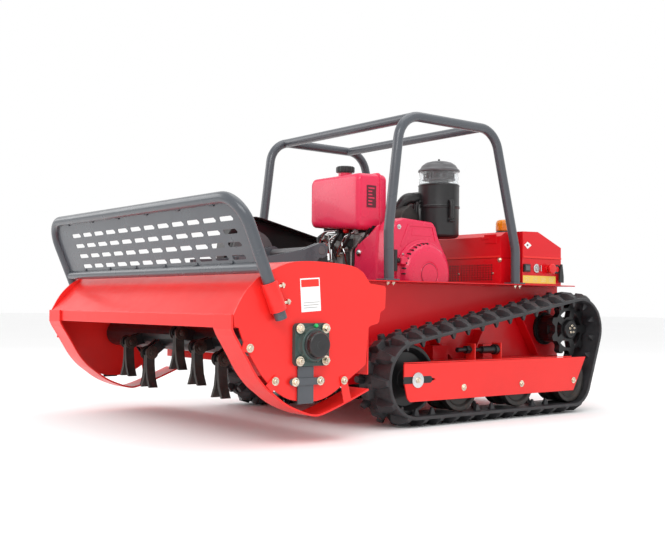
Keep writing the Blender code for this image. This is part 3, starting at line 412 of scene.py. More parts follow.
def bend_path(corners, radius, count=10):
    """Straight runs joined by arcs of the given radius at each inner corner."""
    points = [Vector(p) for p in corners]
    made = [points[0]]
    for before, here, after in zip(points, points[1:], points[2:]):
        a = (before - here).normalized()
        b = (after - here).normalized()
        half = a.angle(b) / 2
        reach = min(radius / math.tan(half), (before - here).length * 0.49, (after - here).length * 0.49)
        true_radius = reach * math.tan(half)
        centre = here + (a + b).normalized() * (true_radius / math.sin(half))
        start = here + a * reach - centre
        end = here + b * reach - centre
        turn = start.angle(end)
        for i in range(count + 1):
            t = i / count
            spoke = start * math.sin((1 - t) * turn) + end * math.sin(t * turn)
            made.append(centre + spoke / math.sin(turn))
    made.append(points[-1])
    return made


def arc(centre, radius, first, last, count):
    """Points on an arc, with angles in degrees."""
    angles = [math.radians(first + (last - first) * i / count) for i in range(count + 1)]
    return [(centre[0] + radius * math.cos(a), centre[1] + radius * math.sin(a)) for a in angles]


def circle(centre, radius, count=32):
    """Points round a full circle, without repeating the first."""
    return arc(centre, radius, 0, 360, count)[:-1]


def smooth_line(points, count=4):
    """A Catmull-Rom line through the points."""
    line = [Vector(p) for p in points]
    made = []
    for i in range(len(line) - 1):
        p1, p2 = line[i], line[i + 1]
        p0 = line[i - 1] if i else p1
        p3 = line[i + 2] if i + 2 < len(line) else p2
        for step in range(count):
            t = step / count
            made.append(0.5 * (
                2 * p1 + (p2 - p0) * t + (2 * p0 - 5 * p1 + 4 * p2 - p3) * t ** 2
                + (3 * p1 - p0 - 3 * p2 + p3) * t ** 3
            ))
    made.append(line[-1])
    return [tuple(p) for p in made]


def strip(path, thickness):
    """The outline of a bent sheet: a path and its copy moved to the left by the thickness."""
    points = [Vector(p) for p in path]
    steps = [(b - a).normalized() for a, b in zip(points, points[1:])]
    inner = []
    for index, point in enumerate(points):
        before = steps[max(index - 1, 0)]
        after = steps[min(index, len(steps) - 1)]
        left = Vector((-before.y, before.x))
        mean = (left + Vector((-after.y, after.x))).normalized()
        inner.append(point + mean * (thickness / mean.dot(left)))
    return [tuple(p) for p in points] + [tuple(p) for p in reversed(inner)]


def bolt(bm, at, direction, radius=0.009, height=0.007, washer=True):
    """A hex head on a round washer."""
    along = Vector(direction).normalized()
    at = Vector(at)
    if washer:
        puck(bm, at, along, radius * 1.45, 0.0016, 24)
        at = at + along * 0.0016
    head = [(0, 0), (0, radius), (height * 0.75, radius), (height, radius * 0.82), (height, 0)]
    turned(bm, head, at, along, 6)
    turned(
        bm, [(0, 0), (0, radius * 0.5), (height + 0.003, radius * 0.45), (height + 0.003, 0)], at,
        along, 16,
    )


def new():
    """An empty mesh to build a piece in."""
    return bmesh.new()


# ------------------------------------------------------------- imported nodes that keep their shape


def dress_node(name, look, edge, angle=32):
    """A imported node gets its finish, welded corners and softened edges."""
    obj = NODES[name]
    obj.data.materials.clear()
    obj.data.materials.append(MATERIALS[look])
    obj.data.polygons.foreach_set("use_smooth", [False] * len(obj.data.polygons))
    weld = obj.modifiers.new("Weld", "WELD")
    weld.merge_threshold = 1e-5
    round_edges(obj, edge, 2, angle)
    obj.modifiers["Edges"].harden_normals = False


def dress_all_nodes():
    """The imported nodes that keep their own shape, with their finish and edge radius."""
    plain = {
        "hull": ("hull_red", 0.0012),
        "pivot_stands": ("black_paint", 0.0012),
        "control_box": ("hull_red", 0.0012),
        "engine_block": ("cast_aluminium", 0.004),
        "belt_guard": ("black_paint", 0.0012),
        "lift_frame": ("pipe_grey", 0.0012),
        "drive_pulley": ("grey_plastic", 0.001),
        "muffler": ("black_paint", 0.002),
        "rotor": ("black_paint", 0.001),
        "starter_handle": ("black_plastic", 0.002),
        "socket_cap": ("black_plastic", 0.001),
        "ignition_key": ("bright_steel", 0.0006),
        "actuator_tube": ("black_paint", 0.001),
        "actuator_rod": ("bright_steel", 0.001),
    }
    for _, word in SIDES:
        plain[f"track_frame_{word}"] = ("head_red", 0.0012)
        plain[f"tensioner_{word}"] = ("black_paint", 0.001)
        plain[f"drive_motor_{word}"] = ("black_paint", 0.0015)
    for name, (look, edge) in plain.items():
        dress_node(name, look, edge)


# ------------------------------------------------------------- head

PLATE_FRONT = [(-0.853, 0.357), (-0.829, 0.400), (-0.805, 0.430), (-0.772, 0.458), (-0.734, 0.4765)]
HOOD_TOP = [
    (-0.686, 0.495), (-0.640, 0.503), (-0.560, 0.504), (-0.457, 0.496), (-0.414, 0.478),
    (-0.392, 0.457),
]
LOWER_ARC = [
    (-0.825, 0.294), (-0.802, 0.253), (-0.770, 0.206), (-0.751, 0.184), (-0.724, 0.158), (-0.687, 0.135),
    (-0.650, 0.124), (-0.596, 0.119), (-0.556, 0.125), (-0.517, 0.142), (-0.460, 0.178), (-0.403, 0.215),
]
SKID = [
    (-0.852, 0.304), (-0.839, 0.284), (-0.815, 0.246), (-0.786, 0.200), (-0.755, 0.165), (-0.727, 0.143),
    (-0.689, 0.116), (-0.650, 0.097), (-0.595, 0.079), (-0.556, 0.080), (-0.474, 0.107), (-0.389, 0.140),
]
SKID_BOLTS = ((-0.804, 0.270), (-0.722, 0.180), (-0.486, 0.173))
SKID_FEET = ((-0.826, 0.275), (-0.741, 0.160), (-0.472, 0.113))


def make_hood():
    """The hood sheet with its cut-out for the actuator, the front channel and the weld beads."""
    half = HEAD_HALF - 0.0056
    top = [(-0.742, 0.470)] + smooth_line([(-0.720, 0.482)] + HOOD_TOP, 5)
    outline = strip([(-0.853, 0.322), (-0.853, 0.357)] + top + [(-0.388, 0.430), (-0.388, 0.185)], -0.004)
    bm = new()
    prism(bm, outline, "X", 0.042, half)
    prism(bm, outline, "X", -half, -0.042)
    short = strip([(-0.853, 0.322), (-0.853, 0.357)] + top + [(-0.388, 0.430), (-0.388, 0.345)], -0.004)
    prism(bm, short, "X", -0.042, 0.042)
    finish_piece("hood_sheet", bm, "head", "head_red", 0.0012, 25, ("hood",))
    bm = new()
    low = [(-0.8525, 0.3225), (-0.824, 0.3225), (-0.824, 0.3255), (-0.8525, 0.3255)]
    prism(bm, low, "X", -half + 0.002, half - 0.002)
    finish_piece("hood_front_channel", bm, "head", "head_red", 0.0008)
    bm = new()
    for i in range(9):
        x = -half + 0.10 + i * (2 * half - 0.20) / 8
        block(bm, (x - 0.012, x + 0.012), (-0.8525, -0.8485), (0.3565, 0.3595))
    finish_piece("hood_weld_beads", bm, "head", "head_red", 0.0010)


def end_outline():
    """The outline of an end plate in the YZ plane."""
    rear = [
        (-0.395, 0.312), (-0.393, 0.320), (-0.386, 0.326), (-0.360, 0.331), (-0.3525, 0.338),
        (-0.350, 0.358),
        (-0.346, 0.367), (-0.336, 0.371), (-0.330, 0.378), (-0.328, 0.434), (-0.332, 0.441),
        (-0.388, 0.447),
    ]
    top = smooth_line(HOOD_TOP[:5], 5)[::-1]
    front = smooth_line(PLATE_FRONT, 5)[::-1]
    lower = smooth_line(LOWER_ARC, 4)
    return [(-0.850, 0.327), (-0.836, 0.3225)] + lower + rear + top + front


def lean(height):
    """(y, z) on the leaning plane of the guard."""
    return (GUARD_FOOT[0] - math.tan(GUARD_LEAN) * (height - GUARD_FOOT[1]), height)


def make_end_plates():
    """The end plates, with the sockets and clamp bolts that hold the guard."""
    for side, word in SIDES:
        bm = new()
        inner = side * (HEAD_HALF - 0.005)
        prism(bm, end_outline(), "X", inner, side * HEAD_HALF, [circle(ROTOR, 0.030, 32)])
        finish_piece(f"end_plate_sheet_{word}", bm, "head", "head_red", 0.0009, 30, (f"end_plate_{word}",))
        bm = new()
        low, high = Vector((0, *lean(0.368))), Vector((0, *lean(0.443)))
        low.x = high.x = side * 0.614
        bore = 0.0168
        length = (high - low).length
        tube = [
            (0, bore), (0, 0.0222), (0.0008, 0.0227), (length - 0.0008, 0.0227), (length, 0.0222),
            (length, bore),
        ]
        turned(bm, tube, low, high - low, 48)
        plate = [(-0.772, 0.430), (-0.752, 0.438), (-0.716, 0.362), (-0.730, 0.356)]
        prism(bm, plate, "X", side * (HEAD_HALF + 0.0004), side * (HEAD_HALF + 0.0044))
        finish_piece(f"guard_socket_{word}", bm, "head", "head_red", 0.0006)
        bm = new()
        for share in (0.22, 0.80):
            at = low.lerp(high, share) + Vector((0, 0.0222, 0.004))
            puck(bm, at, (0, 0.98, 0.2), 0.0045, 0.016, 16)
            bolt(bm, at + Vector((0, 0.012, 0.003)), (0, 0.98, 0.2), 0.0085, 0.008, False)
        finish_piece(f"guard_clamp_bolts_{word}", bm, "head", "zinc", 0.0004)


def make_skids():
    """The skid strips, with the tabs and bolts that hold them to the end plates."""
    for side, word in SIDES:
        bm = new()
        prism(
            bm, strip([(-0.8595, 0.3585), (-0.8595, 0.320)] + smooth_line(SKID, 4), 0.006), "X",
            side * 0.503, side * HEAD_HALF,
        )
        finish_piece(f"skid_strip_{word}", bm, "head", "head_red", 0.0012, 25, (f"skid_{word}",))
        bm = new()
        for foot, hole in zip(SKID_FEET, SKID_BOLTS):
            a = Vector(foot)
            b = Vector(hole)
            run = (b - a).normalized()
            left = Vector((-run.y, run.x)) * 0.014
            end = b + run * 0.013
            outline = [tuple(p) for p in (a + left, a - left, end - left * 0.8, end + left * 0.8)]
            start = side * (HEAD_HALF + 0.0004)
            prism(bm, outline, "X", start, start + side * 0.004)
        finish_piece(f"skid_tabs_{word}", bm, "head", "head_red", 0.0008)
        bm = new()
        for hole in SKID_BOLTS:
            bolt(bm, (side * (HEAD_HALF + 0.0046), *hole), (side, 0, 0), 0.0080, 0.007)
        finish_piece(f"skid_bolts_{word}", bm, "head", "zinc", 0.0004)


def make_bearings():
    """Square flange bearings with their caps, bolts and grease nipple covers."""
    half = 0.0585
    for side, word in SIDES:
        start = side * (HEAD_HALF + 0.0004)
        bm = new()
        corners = []
        for turn, sy, sz in ((0, 1, 1), (90, -1, 1), (180, -1, -1), (270, 1, -1)):
            centre = (ROTOR[0] + sy * (half - 0.014), ROTOR[1] + sz * (half - 0.014))
            corners += arc(centre, 0.014, turn, turn + 90, 6)
        prism(bm, corners, "X", start, start + side * 0.013)
        boss = rounded(
            [(0.008, 0), (0.008, 0.054), (0.020, 0.047), (0.030, 0.045), (0.030, 0.036), (0.030, 0)],
            0.003,
        )
        turned(bm, boss, (start, *ROTOR), (side, 0, 0), 48)
        for turn in (45, 135, 225, 315):
            out = Vector((math.cos(math.radians(turn)), math.sin(math.radians(turn))))
            at = Vector((start, *ROTOR)) + Vector((0, *(out * 0.062)))
            turned(
                bm, rounded([(0.010, 0), (0.010, 0.014), (0.017, 0.012), (0.017, 0)], 0.001), at,
                (side, 0, 0), 20,
            )
        finish_piece(
            f"bearing_housing_{word}", bm, "head", "bearing_green", 0.0012, 30, (f"bearing_{word}",),
        )
        bm = new()
        cap = [
            (0.027, 0), (0.027, 0.0395), (0.033, 0.0395), (0.035, 0.036), (0.047, 0.0350), (0.0512, 0.0315),
            (0.0512, 0.012), (0.0500, 0.010), (0.0500, 0),
        ]
        turned(bm, rounded(cap, 0.0015), (start, *ROTOR), (side, 0, 0), 56)
        finish_piece(f"bearing_cap_{word}", bm, "head", "black_plastic", 0, 30)
        bm = new()
        for sy in (-1, 1):
            for sz in (-1, 1):
                at = (start + side * 0.0170, ROTOR[0] + sy * 0.044, ROTOR[1] + sz * 0.044)
                bolt(bm, at, (side, 0, 0), 0.0095, 0.009)
        finish_piece(f"bearing_bolts_{word}", bm, "head", "zinc", 0.0004)
        bm = new()
        nipple = [(0, 0), (0, 0.004), (0.006, 0.004), (0.008, 0.0062), (0.013, 0.005), (0.013, 0)]
        at = (start + side * 0.013, ROTOR[0] + 0.006, ROTOR[1] + 0.049)
        turned(bm, rounded(nipple, 0.001), at, (side, 0, 0.3), 20)
        finish_piece(f"grease_cap_{word}", bm, "head", "green", 0)


def make_straps():
    """The depth bars under the bearings."""
    for side, word in SIDES:
        start = side * (HEAD_HALF + 0.0004)
        bm = new()
        block(bm, tuple(sorted((start, start + side * 0.006))), (-0.648, -0.595), (0.115, 0.2165))
        rear_end = arc((-0.569, 0.176), 0.010, -90, 90, 6)
        front_end = arc((-0.668, 0.176), 0.010, 90, 270, 6)
        prism(
            bm, [(-0.668, 0.166)] + rear_end + front_end, "X", start + side * 0.0062,
            start + side * 0.0102,
        )
        finish_piece(f"depth_bar_{word}", bm, "head", "pipe_grey", 0.0010, 30, (f"depth_strap_{word}",))
        bm = new()
        for y in (-0.660, -0.575):
            bolt(bm, (start + side * 0.0103, y, 0.176), (side, 0, 0), 0.0085, 0.007)
        finish_piece(f"depth_bar_bolts_{word}", bm, "head", "zinc", 0.0004)


def make_head_label():
    """Blank sticker with a red band and three grey lines, on the outer face of each end plate."""
    for side, word in SIDES:
        x = side * (HEAD_HALF + 0.0003)
        turn = Matrix.Rotation(math.radians(4), 2)

        def sticker(low, high, left, right, depth, name, look):
            centre = Vector((-0.604, 0.412))
            corners = ((left, low), (right, low), (right, high), (left, high))
            outline = [tuple(centre + turn @ (Vector(corner) - centre)) for corner in corners]
            bm = new()
            prism(bm, outline, "X", x, x + side * depth)
            finish_piece(name, bm, "head", look, 0.0001)
        sticker(0.366, 0.458, -0.6375, -0.5705, 0.0004, f"head_sticker_{word}", "white")
        sticker(0.434, 0.4545, -0.6345, -0.5735, 0.0006, f"head_sticker_band_{word}", "sticker_red")
        for row in range(3):
            low = 0.376 + row * 0.007
            sticker(
                low, low + 0.0022, -0.630, -0.582 + row * 0.004, 0.0006,
                f"head_sticker_line_{row}_{word}", "sticker_grey",
            )


def make_guard():
    """The bent pipe, the slotted sheet that leans with it and its weld tabs."""
    outer = 0.614
    foot = Vector((outer, *GUARD_FOOT))
    top = Vector((outer, *lean(0.667)))
    mirror = Vector((-1, 1, 1))
    path = bend_path([foot, top, top * mirror, foot * mirror], 0.090, 14)
    bm = new()
    sweep(bm, path, 0.0165, 28)
    low = Vector((outer, *lean(0.482)))
    sweep(bm, [low * mirror + Vector((0.008, 0, 0)), low - Vector((0.008, 0, 0))], 0.0155, 28)
    finish_piece("guard_pipes", bm, "guard", "pipe_grey", 0.0008, 30, ("guard_frame",))
    cosine = math.cos(GUARD_LEAN)
    half = outer - 0.0165 + 0.0020
    radius = 0.090 - 0.0150
    low_z = 0.482 + 0.0140 * cosine
    corner = [(outer - 0.090 + radius * math.cos(a), 0.667 + (radius * math.sin(a) - 0.090) * cosine)
              for a in [math.radians(90 * i / 10) for i in range(11)]]
    right = [(half, low_z), (half, corner[0][1] - 0.002)] + corner
    outline = right + [(-x, z) for x, z in reversed(right)]
    holes = []
    for row in range(4):
        z = 0.511 + row * 0.034
        for column in range(12):
            x = -0.440 + column * 0.0868
            wide, tall = 0.0335, 0.0062
            slot = [
                (x - wide, z - tall + 0.002), (x - wide + 0.003, z - tall),
                (x + wide - 0.004, z - tall),
            ]
            slot += [(x + wide, z - tall + 0.004), (x + wide - 0.001, z), (x + wide - 0.008, z + tall)]
            slot += [(x - wide + 0.003, z + tall), (x - wide, z + tall - 0.003)]
            holes.append(slot)
    bm = new()
    prism(bm, outline, "Y", -0.001, 0.001, holes)
    shear = Matrix.Identity(4)
    shear[1][2] = -math.tan(GUARD_LEAN)
    shear[1][3] = GUARD_FOOT[0] + math.tan(GUARD_LEAN) * GUARD_FOOT[1]
    bmesh.ops.transform(bm, matrix=shear, verts=bm.verts)
    finish_piece("guard_slotted_sheet", bm, "guard", "pipe_grey", 0, 30, ("guard_panel",))
    bm = new()
    for z, count in ((0.667 - 0.018 * cosine, 6), (0.482 + 0.018 * cosine, 6)):
        for i in range(count):
            x = -0.47 + i * 0.94 / (count - 1)
            y, height = lean(z)
            block(bm, (x - 0.009, x + 0.009), (y - 0.0045, y + 0.0045), (height - 0.0035, height + 0.0035))
    finish_piece("guard_weld_tabs", bm, "guard", "pipe_grey", 0.0008)


def make_flails():
    """A pair of blades and a bolt on each flail joint."""
    for joint in frame["joints"]:
        if not joint["name"].endswith("_swing") or not joint["child"].startswith("flail"):
            continue
        x, y, z = joint["pos_m"]
        name = joint["child"]
        bm = new()
        turned(bm, rounded([(-0.0096, 0.0066), (-0.0096, 0.0128), (0.0096, 0.0128), (0.0096, 0.0066)], 0.001),
               (x, y, z), (1, 0, 0), 32)
        for sign in (-1, 1):
            blade = [
                (x + sign * 0.0006, z - 0.008), (x + sign * 0.0096, z - 0.008),
                (x + sign * 0.0100, z - 0.040),
                (x + sign * 0.0165, z - 0.080), (x + sign * 0.0330, z - 0.1148),
                (x + sign * 0.0225, z - 0.1148),
                (x + sign * 0.0070, z - 0.086), (x + sign * 0.0006, z - 0.060),
            ]
            prism(bm, blade, "Y", y - 0.0148, y + 0.0148)
        finish_piece(f"{name}_blades", bm, name, "wheel_steel", 0.0008, 30, (name,))
        bm = new()
        for sign in (-1, 1):
            puck(bm, (x + sign * 0.0167, y, z), (sign, 0, 0), 0.0225, 0.0028, 32, 0.0008)
            bolt(bm, (x + sign * 0.0196, y, z), (sign, 0, 0), 0.0105, 0.0060)
        finish_piece(f"{name}_bolt", bm, "rotor", "rusty_steel", 0.0004)


# ------------------------------------------------------------- tracks


def track_path():
    """The inner face of the belt, as lines and arcs round idler, rear roller and sprocket."""
    wheels = [
        (Vector(IDLER), BELT_RADII["idler"]),
        (Vector(ROLLERS["rear"]), BELT_RADII["roller"]),
        (Vector(SPROCKET), BELT_RADII["sprocket"]),
    ]
    tangents = []
    for (a, ra), (b, rb) in zip(wheels, wheels[1:] + wheels[:1]):
        gap = b - a
        normal = math.atan2(gap.y, gap.x) - math.acos((ra - rb) / gap.length)
        tangents.append((normal, a, ra, b, rb))
    path = []
    for index, (normal, a, ra, b, rb) in enumerate(tangents):
        away = Vector((math.cos(normal), math.sin(normal)))
        path.append(("line", a + away * ra, b + away * rb, normal))
        turn = (tangents[(index + 1) % 3][0] - normal) % math.tau
        path.append(("arc", b, rb, normal, turn))
    return path


def piece_length(piece):
    """The length of one line or arc of the track path."""
    return (piece[2] - piece[1]).length if piece[0] == "line" else piece[2] * piece[4]


def track_at(path, distance):
    """(point on the belt's inner face, outward direction) at a distance round it."""
    total = sum(piece_length(p) for p in path)
    distance %= total
    for piece in path:
        length = piece_length(piece)
        if distance <= length:
            if piece[0] == "line":
                away = Vector((math.cos(piece[3]), math.sin(piece[3])))
                return piece[1].lerp(piece[2], distance / length), away
            angle = piece[3] + distance / piece[2]
            away = Vector((math.cos(angle), math.sin(angle)))
            return piece[1] + away * piece[2], away
        distance -= length
    return path[0][1], Vector((0, -1))


def make_tracks():
    """The rubber belts: carcass, outer and inner pads, and guide horns."""
    path = track_path()
    total = sum(piece_length(p) for p in path)
    count = round(total / 0.070)
    pitch = total / count
    for side, word in SIDES:
        def at(distance, out, across):
            point, away = track_at(path, distance)
            spot = point + away * out
            return Vector((side * (TRACK_X + across), spot.x, spot.y))

        def pad(bm, centre, plan, top_shrink, heights):
            """A raised block: plan is its (along, across) outline and heights its height at each corner."""
            mid_along = sum(p[0] for p in plan) / len(plan)
            mid_across = sum(p[1] for p in plan) / len(plan)
            base = [at(centre + p[0], CARCASS - 0.001, p[1]) for p in plan]
            top = []
            for (along, across), height in zip(plan, heights):
                along = mid_along + (along - mid_along) * top_shrink
                across = mid_across + (across - mid_across) * (top_shrink + 1) / 2
                top.append(at(centre + along, CARCASS + height, across))
            solid_between(bm, base, top)

        steps = 220
        section = [
            (-TRACK_HALF, 0.003), (-TRACK_HALF, 0.009), (-TRACK_HALF + 0.003, CARCASS),
            (TRACK_HALF - 0.003, CARCASS),
            (TRACK_HALF, 0.009), (TRACK_HALF, 0.003), (TRACK_HALF - 0.003, 0.0005),
            (-TRACK_HALF + 0.003, 0.0005),
        ]
        bm = new()
        rings = [[bm.verts.new(at(total * i / steps, out, x)) for x, out in section] for i in range(steps)]
        for low, high in zip(rings, rings[1:] + rings[:1]):
            join_rings(bm, low, high)
        high = LUG_HEIGHT - 0.0005
        for i in range(count):
            centre = (i + 0.5) * pitch
            outer = [
                (-0.021, 0.006), (-0.010, 0.045), (-0.004, 0.0735), (0.016, 0.0735), (0.024, 0.045),
                (0.021, 0.006),
            ]
            heights = [high, high * 0.86, high * 0.30, high * 0.30, high * 0.86, high]
            pad(bm, centre - 0.004, outer, 0.62, heights)
            inner = [(a, -b) for a, b in outer]
            pad(bm, centre + pitch / 2 - 0.004, inner, 0.62, heights)
            bridge = [(-0.012, -0.012), (-0.012, 0.012), (0.012, 0.012), (0.012, -0.012)]
            pad(bm, centre + 0.012, bridge, 0.7, [high * 0.72] * 4)
            turns = [math.tau * k / 10 for k in range(10)]
            knob = [(0.014 * math.cos(a), -0.056 + 0.016 * math.sin(a)) for a in turns]
            pad(bm, centre - 0.004, knob, 0.60, [high + 0.0004] * 10)
        hubs = [Vector(p) for p in ROLLERS.values()]
        for i in range(count):
            for across in (-0.040, 0.040):
                tip, away = track_at(path, (i + 0.25) * pitch)
                tip = tip - away * 0.022
                if min((tip - hub).length for hub in hubs) < 0.086:
                    continue
                here = (i + 0.25) * pitch
                base = [at(here + a * 0.012, 0.002, across + b * 0.008) for a, b in SQUARE]
                crest = [at(here + a * 0.003, -0.022, across + b * 0.004) for a, b in SQUARE]
                solid_between(bm, base, crest)
        finish_piece(
            f"track_rubber_{word}", bm, "chassis", "track_rubber", 0.0018, 32, (f"track_belt_{word}",),
        )


def make_wheels():
    """Sprockets, idlers and rollers."""
    for side, word in SIDES:
        x = side * TRACK_X
        bm = new()
        outline = []
        for i in range(9):
            mid = 40.0 * i
            tooth = [
                (-20, 0.0795), (-13, 0.0800), (-9.5, 0.086), (-7.5, 0.0945), (-4.5, 0.0988),
                (0, 0.0993),
            ]
            tooth += [(-a, r) for a, r in reversed(tooth[1:-1])]
            for offset, radius in tooth:
                turn = math.radians(mid + offset)
                outline.append((SPROCKET[0] + radius * math.cos(turn), SPROCKET[1] + radius * math.sin(turn)))
        holes = []
        for a in range(0, 360, 72):
            holes.append(arc(SPROCKET, 0.069, a + 11, a + 61, 8) + arc(SPROCKET, 0.045, a + 56, a + 16, 6))
        prism(bm, outline, "X", x - 0.0115, x + 0.0115, holes)
        hub = [
            (-0.0325, 0), (-0.0325, 0.036), (0.018, 0.036), (0.024, 0.033), (0.027, 0.024),
            (0.024, 0.020), (0.024, 0),
        ]
        turned(bm, [(side * d, r) for d, r in rounded(hub, 0.0015)], (x, *SPROCKET), (1, 0, 0), 48)
        finish_piece(
            f"sprocket_wheel_{word}", bm, f"sprocket_{word}", "black_paint", 0.0012, 30,
            (f"sprocket_{word}",),
        )
        bm = new()
        for i in range(5):
            turn = math.radians(72 * i + 20)
            at = (
                x + side * 0.0243, SPROCKET[0] + 0.013 * math.cos(turn),
                SPROCKET[1] + 0.013 * math.sin(turn),
            )
            bolt(bm, at, (side, 0, 0), 0.0048, 0.0035, False)
        finish_piece(f"sprocket_bolts_{word}", bm, f"sprocket_{word}", "zinc", 0.0003)
        bm = new()
        tread = BELT_RADII["idler"] - 0.003
        idler = [
            (-0.0635, 0), (-0.0635, 0.014), (-0.030, 0.026), (-0.008, 0.034), (-0.006, tread - 0.024),
            (-0.024, tread - 0.014), (-0.027, tread - 0.010), (-0.027, tread), (0.027, tread),
            (0.027, tread - 0.010), (0.024, tread - 0.014), (0.006, tread - 0.024), (0.008, 0.034),
            (0.030, 0.026), (0.0590, 0.014), (0.0590, 0),
        ]
        turned(bm, [(side * d, r) for d, r in rounded(idler, 0.002)], (x, *IDLER), (1, 0, 0), 72)
        finish_piece(f"idler_wheel_{word}", bm, f"idler_{word}", "black_paint", 0, 30, (f"idler_{word}",))
        for place_word, centre in ROLLERS.items():
            bm = new()
            tread = BELT_RADII["roller"] - 0.003
            roller = [
                (-0.0635, 0), (-0.0635, 0.017), (-0.052, 0.017), (-0.050, 0.026), (-0.044, 0.030),
                (-0.042, 0.058),
                (-0.050, 0.066), (-0.050, tread), (-0.020, tread), (-0.016, 0.061), (0.016, 0.061),
                (0.020, tread), (0.050, tread), (0.050, 0.066), (0.042, 0.058), (0.044, 0.030),
                (0.050, 0.026),
                (0.052, 0.017), (0.0592, 0.017), (0.0592, 0),
            ]
            turned(bm, [(side * d, r) for d, r in rounded(roller, 0.002)], (x, *centre), (1, 0, 0), 64)
            name = f"roller_{place_word}_{word}"
            finish_piece(f"{name}_wheel", bm, name, "wheel_steel", 0, 30, (name,))


def make_track_details():
    """Bolts, tensioner rods, idler slots drawn as painted shade, and gussets on the track frames."""
    for side, word in SIDES:
        x = side * 0.4793
        bm = new()
        for centre in ROLLERS.values():
            bolt(bm, (x, *centre), (side, 0, 0), 0.0078, 0.005)
        bolt(bm, (x + side * 0.004, *IDLER), (side, 0, 0), 0.0105, 0.0035, False)
        finish_piece(f"track_frame_bolts_{word}", bm, "chassis", "zinc", 0.0004)
        bm = new()
        puck(bm, (x, *IDLER), (side, 0, 0), 0.0245, 0.004, 40, 0.0008)
        finish_piece(f"idler_washer_{word}", bm, "chassis", "bright_steel", 0.0004)
        bm = new()
        prism(
            bm, [(-0.148, 0.2035), (0.675, 0.2035), (0.677, 0.2065), (-0.150, 0.2065)], "X",
            x - side * 0.004, x,
        )
        finish_piece(f"track_frame_fold_{word}", bm, "chassis", "head_red", 0.0012)
        bm = new()
        place_x = side * TRACK_X
        puck(bm, (place_x, 0.150, 0.237), (0, 1, 0), 0.0085, 0.072, 24, 0.002)
        puck(bm, (place_x, 0.190, 0.237), (0, 1, 0), 0.0150, 0.018, 6, 0.001)
        puck(bm, (place_x, 0.3300, 0.236), (0, 1, 0), 0.0175, 0.008, 32, 0.002)
        finish_piece(f"tensioner_rod_{word}", bm, "chassis", "black_paint", 0.0005)
        # A thin black sheet in the slot's shape: painted shade standing in for the opening in the frame.
        bm = new()
        face = side * 0.4792
        slot = arc((-0.038, 0.1505), 0.0110, -90, 90, 8) + [(-0.1515, 0.1615), (-0.1515, 0.1395)]
        prism(bm, slot, "X", face, face + side * 0.0004)
        finish_piece(f"idler_slot_shade_{word}", bm, "chassis", "black_paint", 0)
        bm = new()
        for start, end in (
            ((0.355, 0.300), (0.300, 0.205)), ((0.560, 0.345), (0.652, 0.207)),
            ((0.115, 0.275), (0.206, 0.202)),
        ):
            a, b = Vector(start), Vector(end)
            left = Vector((a.y - b.y, b.x - a.x)).normalized() * 0.0025
            outline = [tuple(p) for p in (a + left, a - left, b - left, b + left)]
            prism(bm, outline, "X", side * 0.3056, side * 0.3440)
        finish_piece(f"frame_gussets_{word}", bm, "chassis", "hull_red", 0.0006)


# ------------------------------------------------------------- cage, hull, box


def make_cage():
    """The roll cage with its feet and deck bolts."""
    x = 0.365
    bm = new()
    for side in (-1, 1):
        corners = [
            (-0.113, 0.4698), (-0.116, 0.633), (-0.067, 1.0128), (0.3835, 1.0110), (0.498, 0.588),
            (0.4985, 0.4698),
        ]
        sweep(bm, bend_path([Vector((side * x, y, z)) for y, z in corners], 0.092, 14), 0.0166, 28)
    for y in (-0.010, 0.305):
        sweep(bm, [(-x + 0.006, y, 1.0098), (x - 0.006, y, 1.0098)], 0.0158, 28)
    finish_piece("cage_pipes", bm, "chassis", "pipe_grey", 0.0006, 30, ("roll_cage",))
    bm = new()
    for side in (-1, 1):
        for y in (-0.118, 0.495):
            block(
                bm, (side * x - 0.024, side * x + 0.024), (y - 0.030, y + 0.030),
                (DECK_Z + 0.0003, DECK_Z + 0.0055),
            )
    finish_piece("cage_feet", bm, "chassis", "pipe_grey", 0.0008)
    bm = new()
    for side in (-1, 1):
        for y in (-0.118, 0.495):
            for shift in (-0.012, 0.012):
                bolt(bm, (side * (x + 0.012), y + shift, DECK_Z - 0.0043), (0, 0, -1), 0.0060, 0.006)
    finish_piece("deck_bolts", bm, "chassis", "zinc", 0.0004)


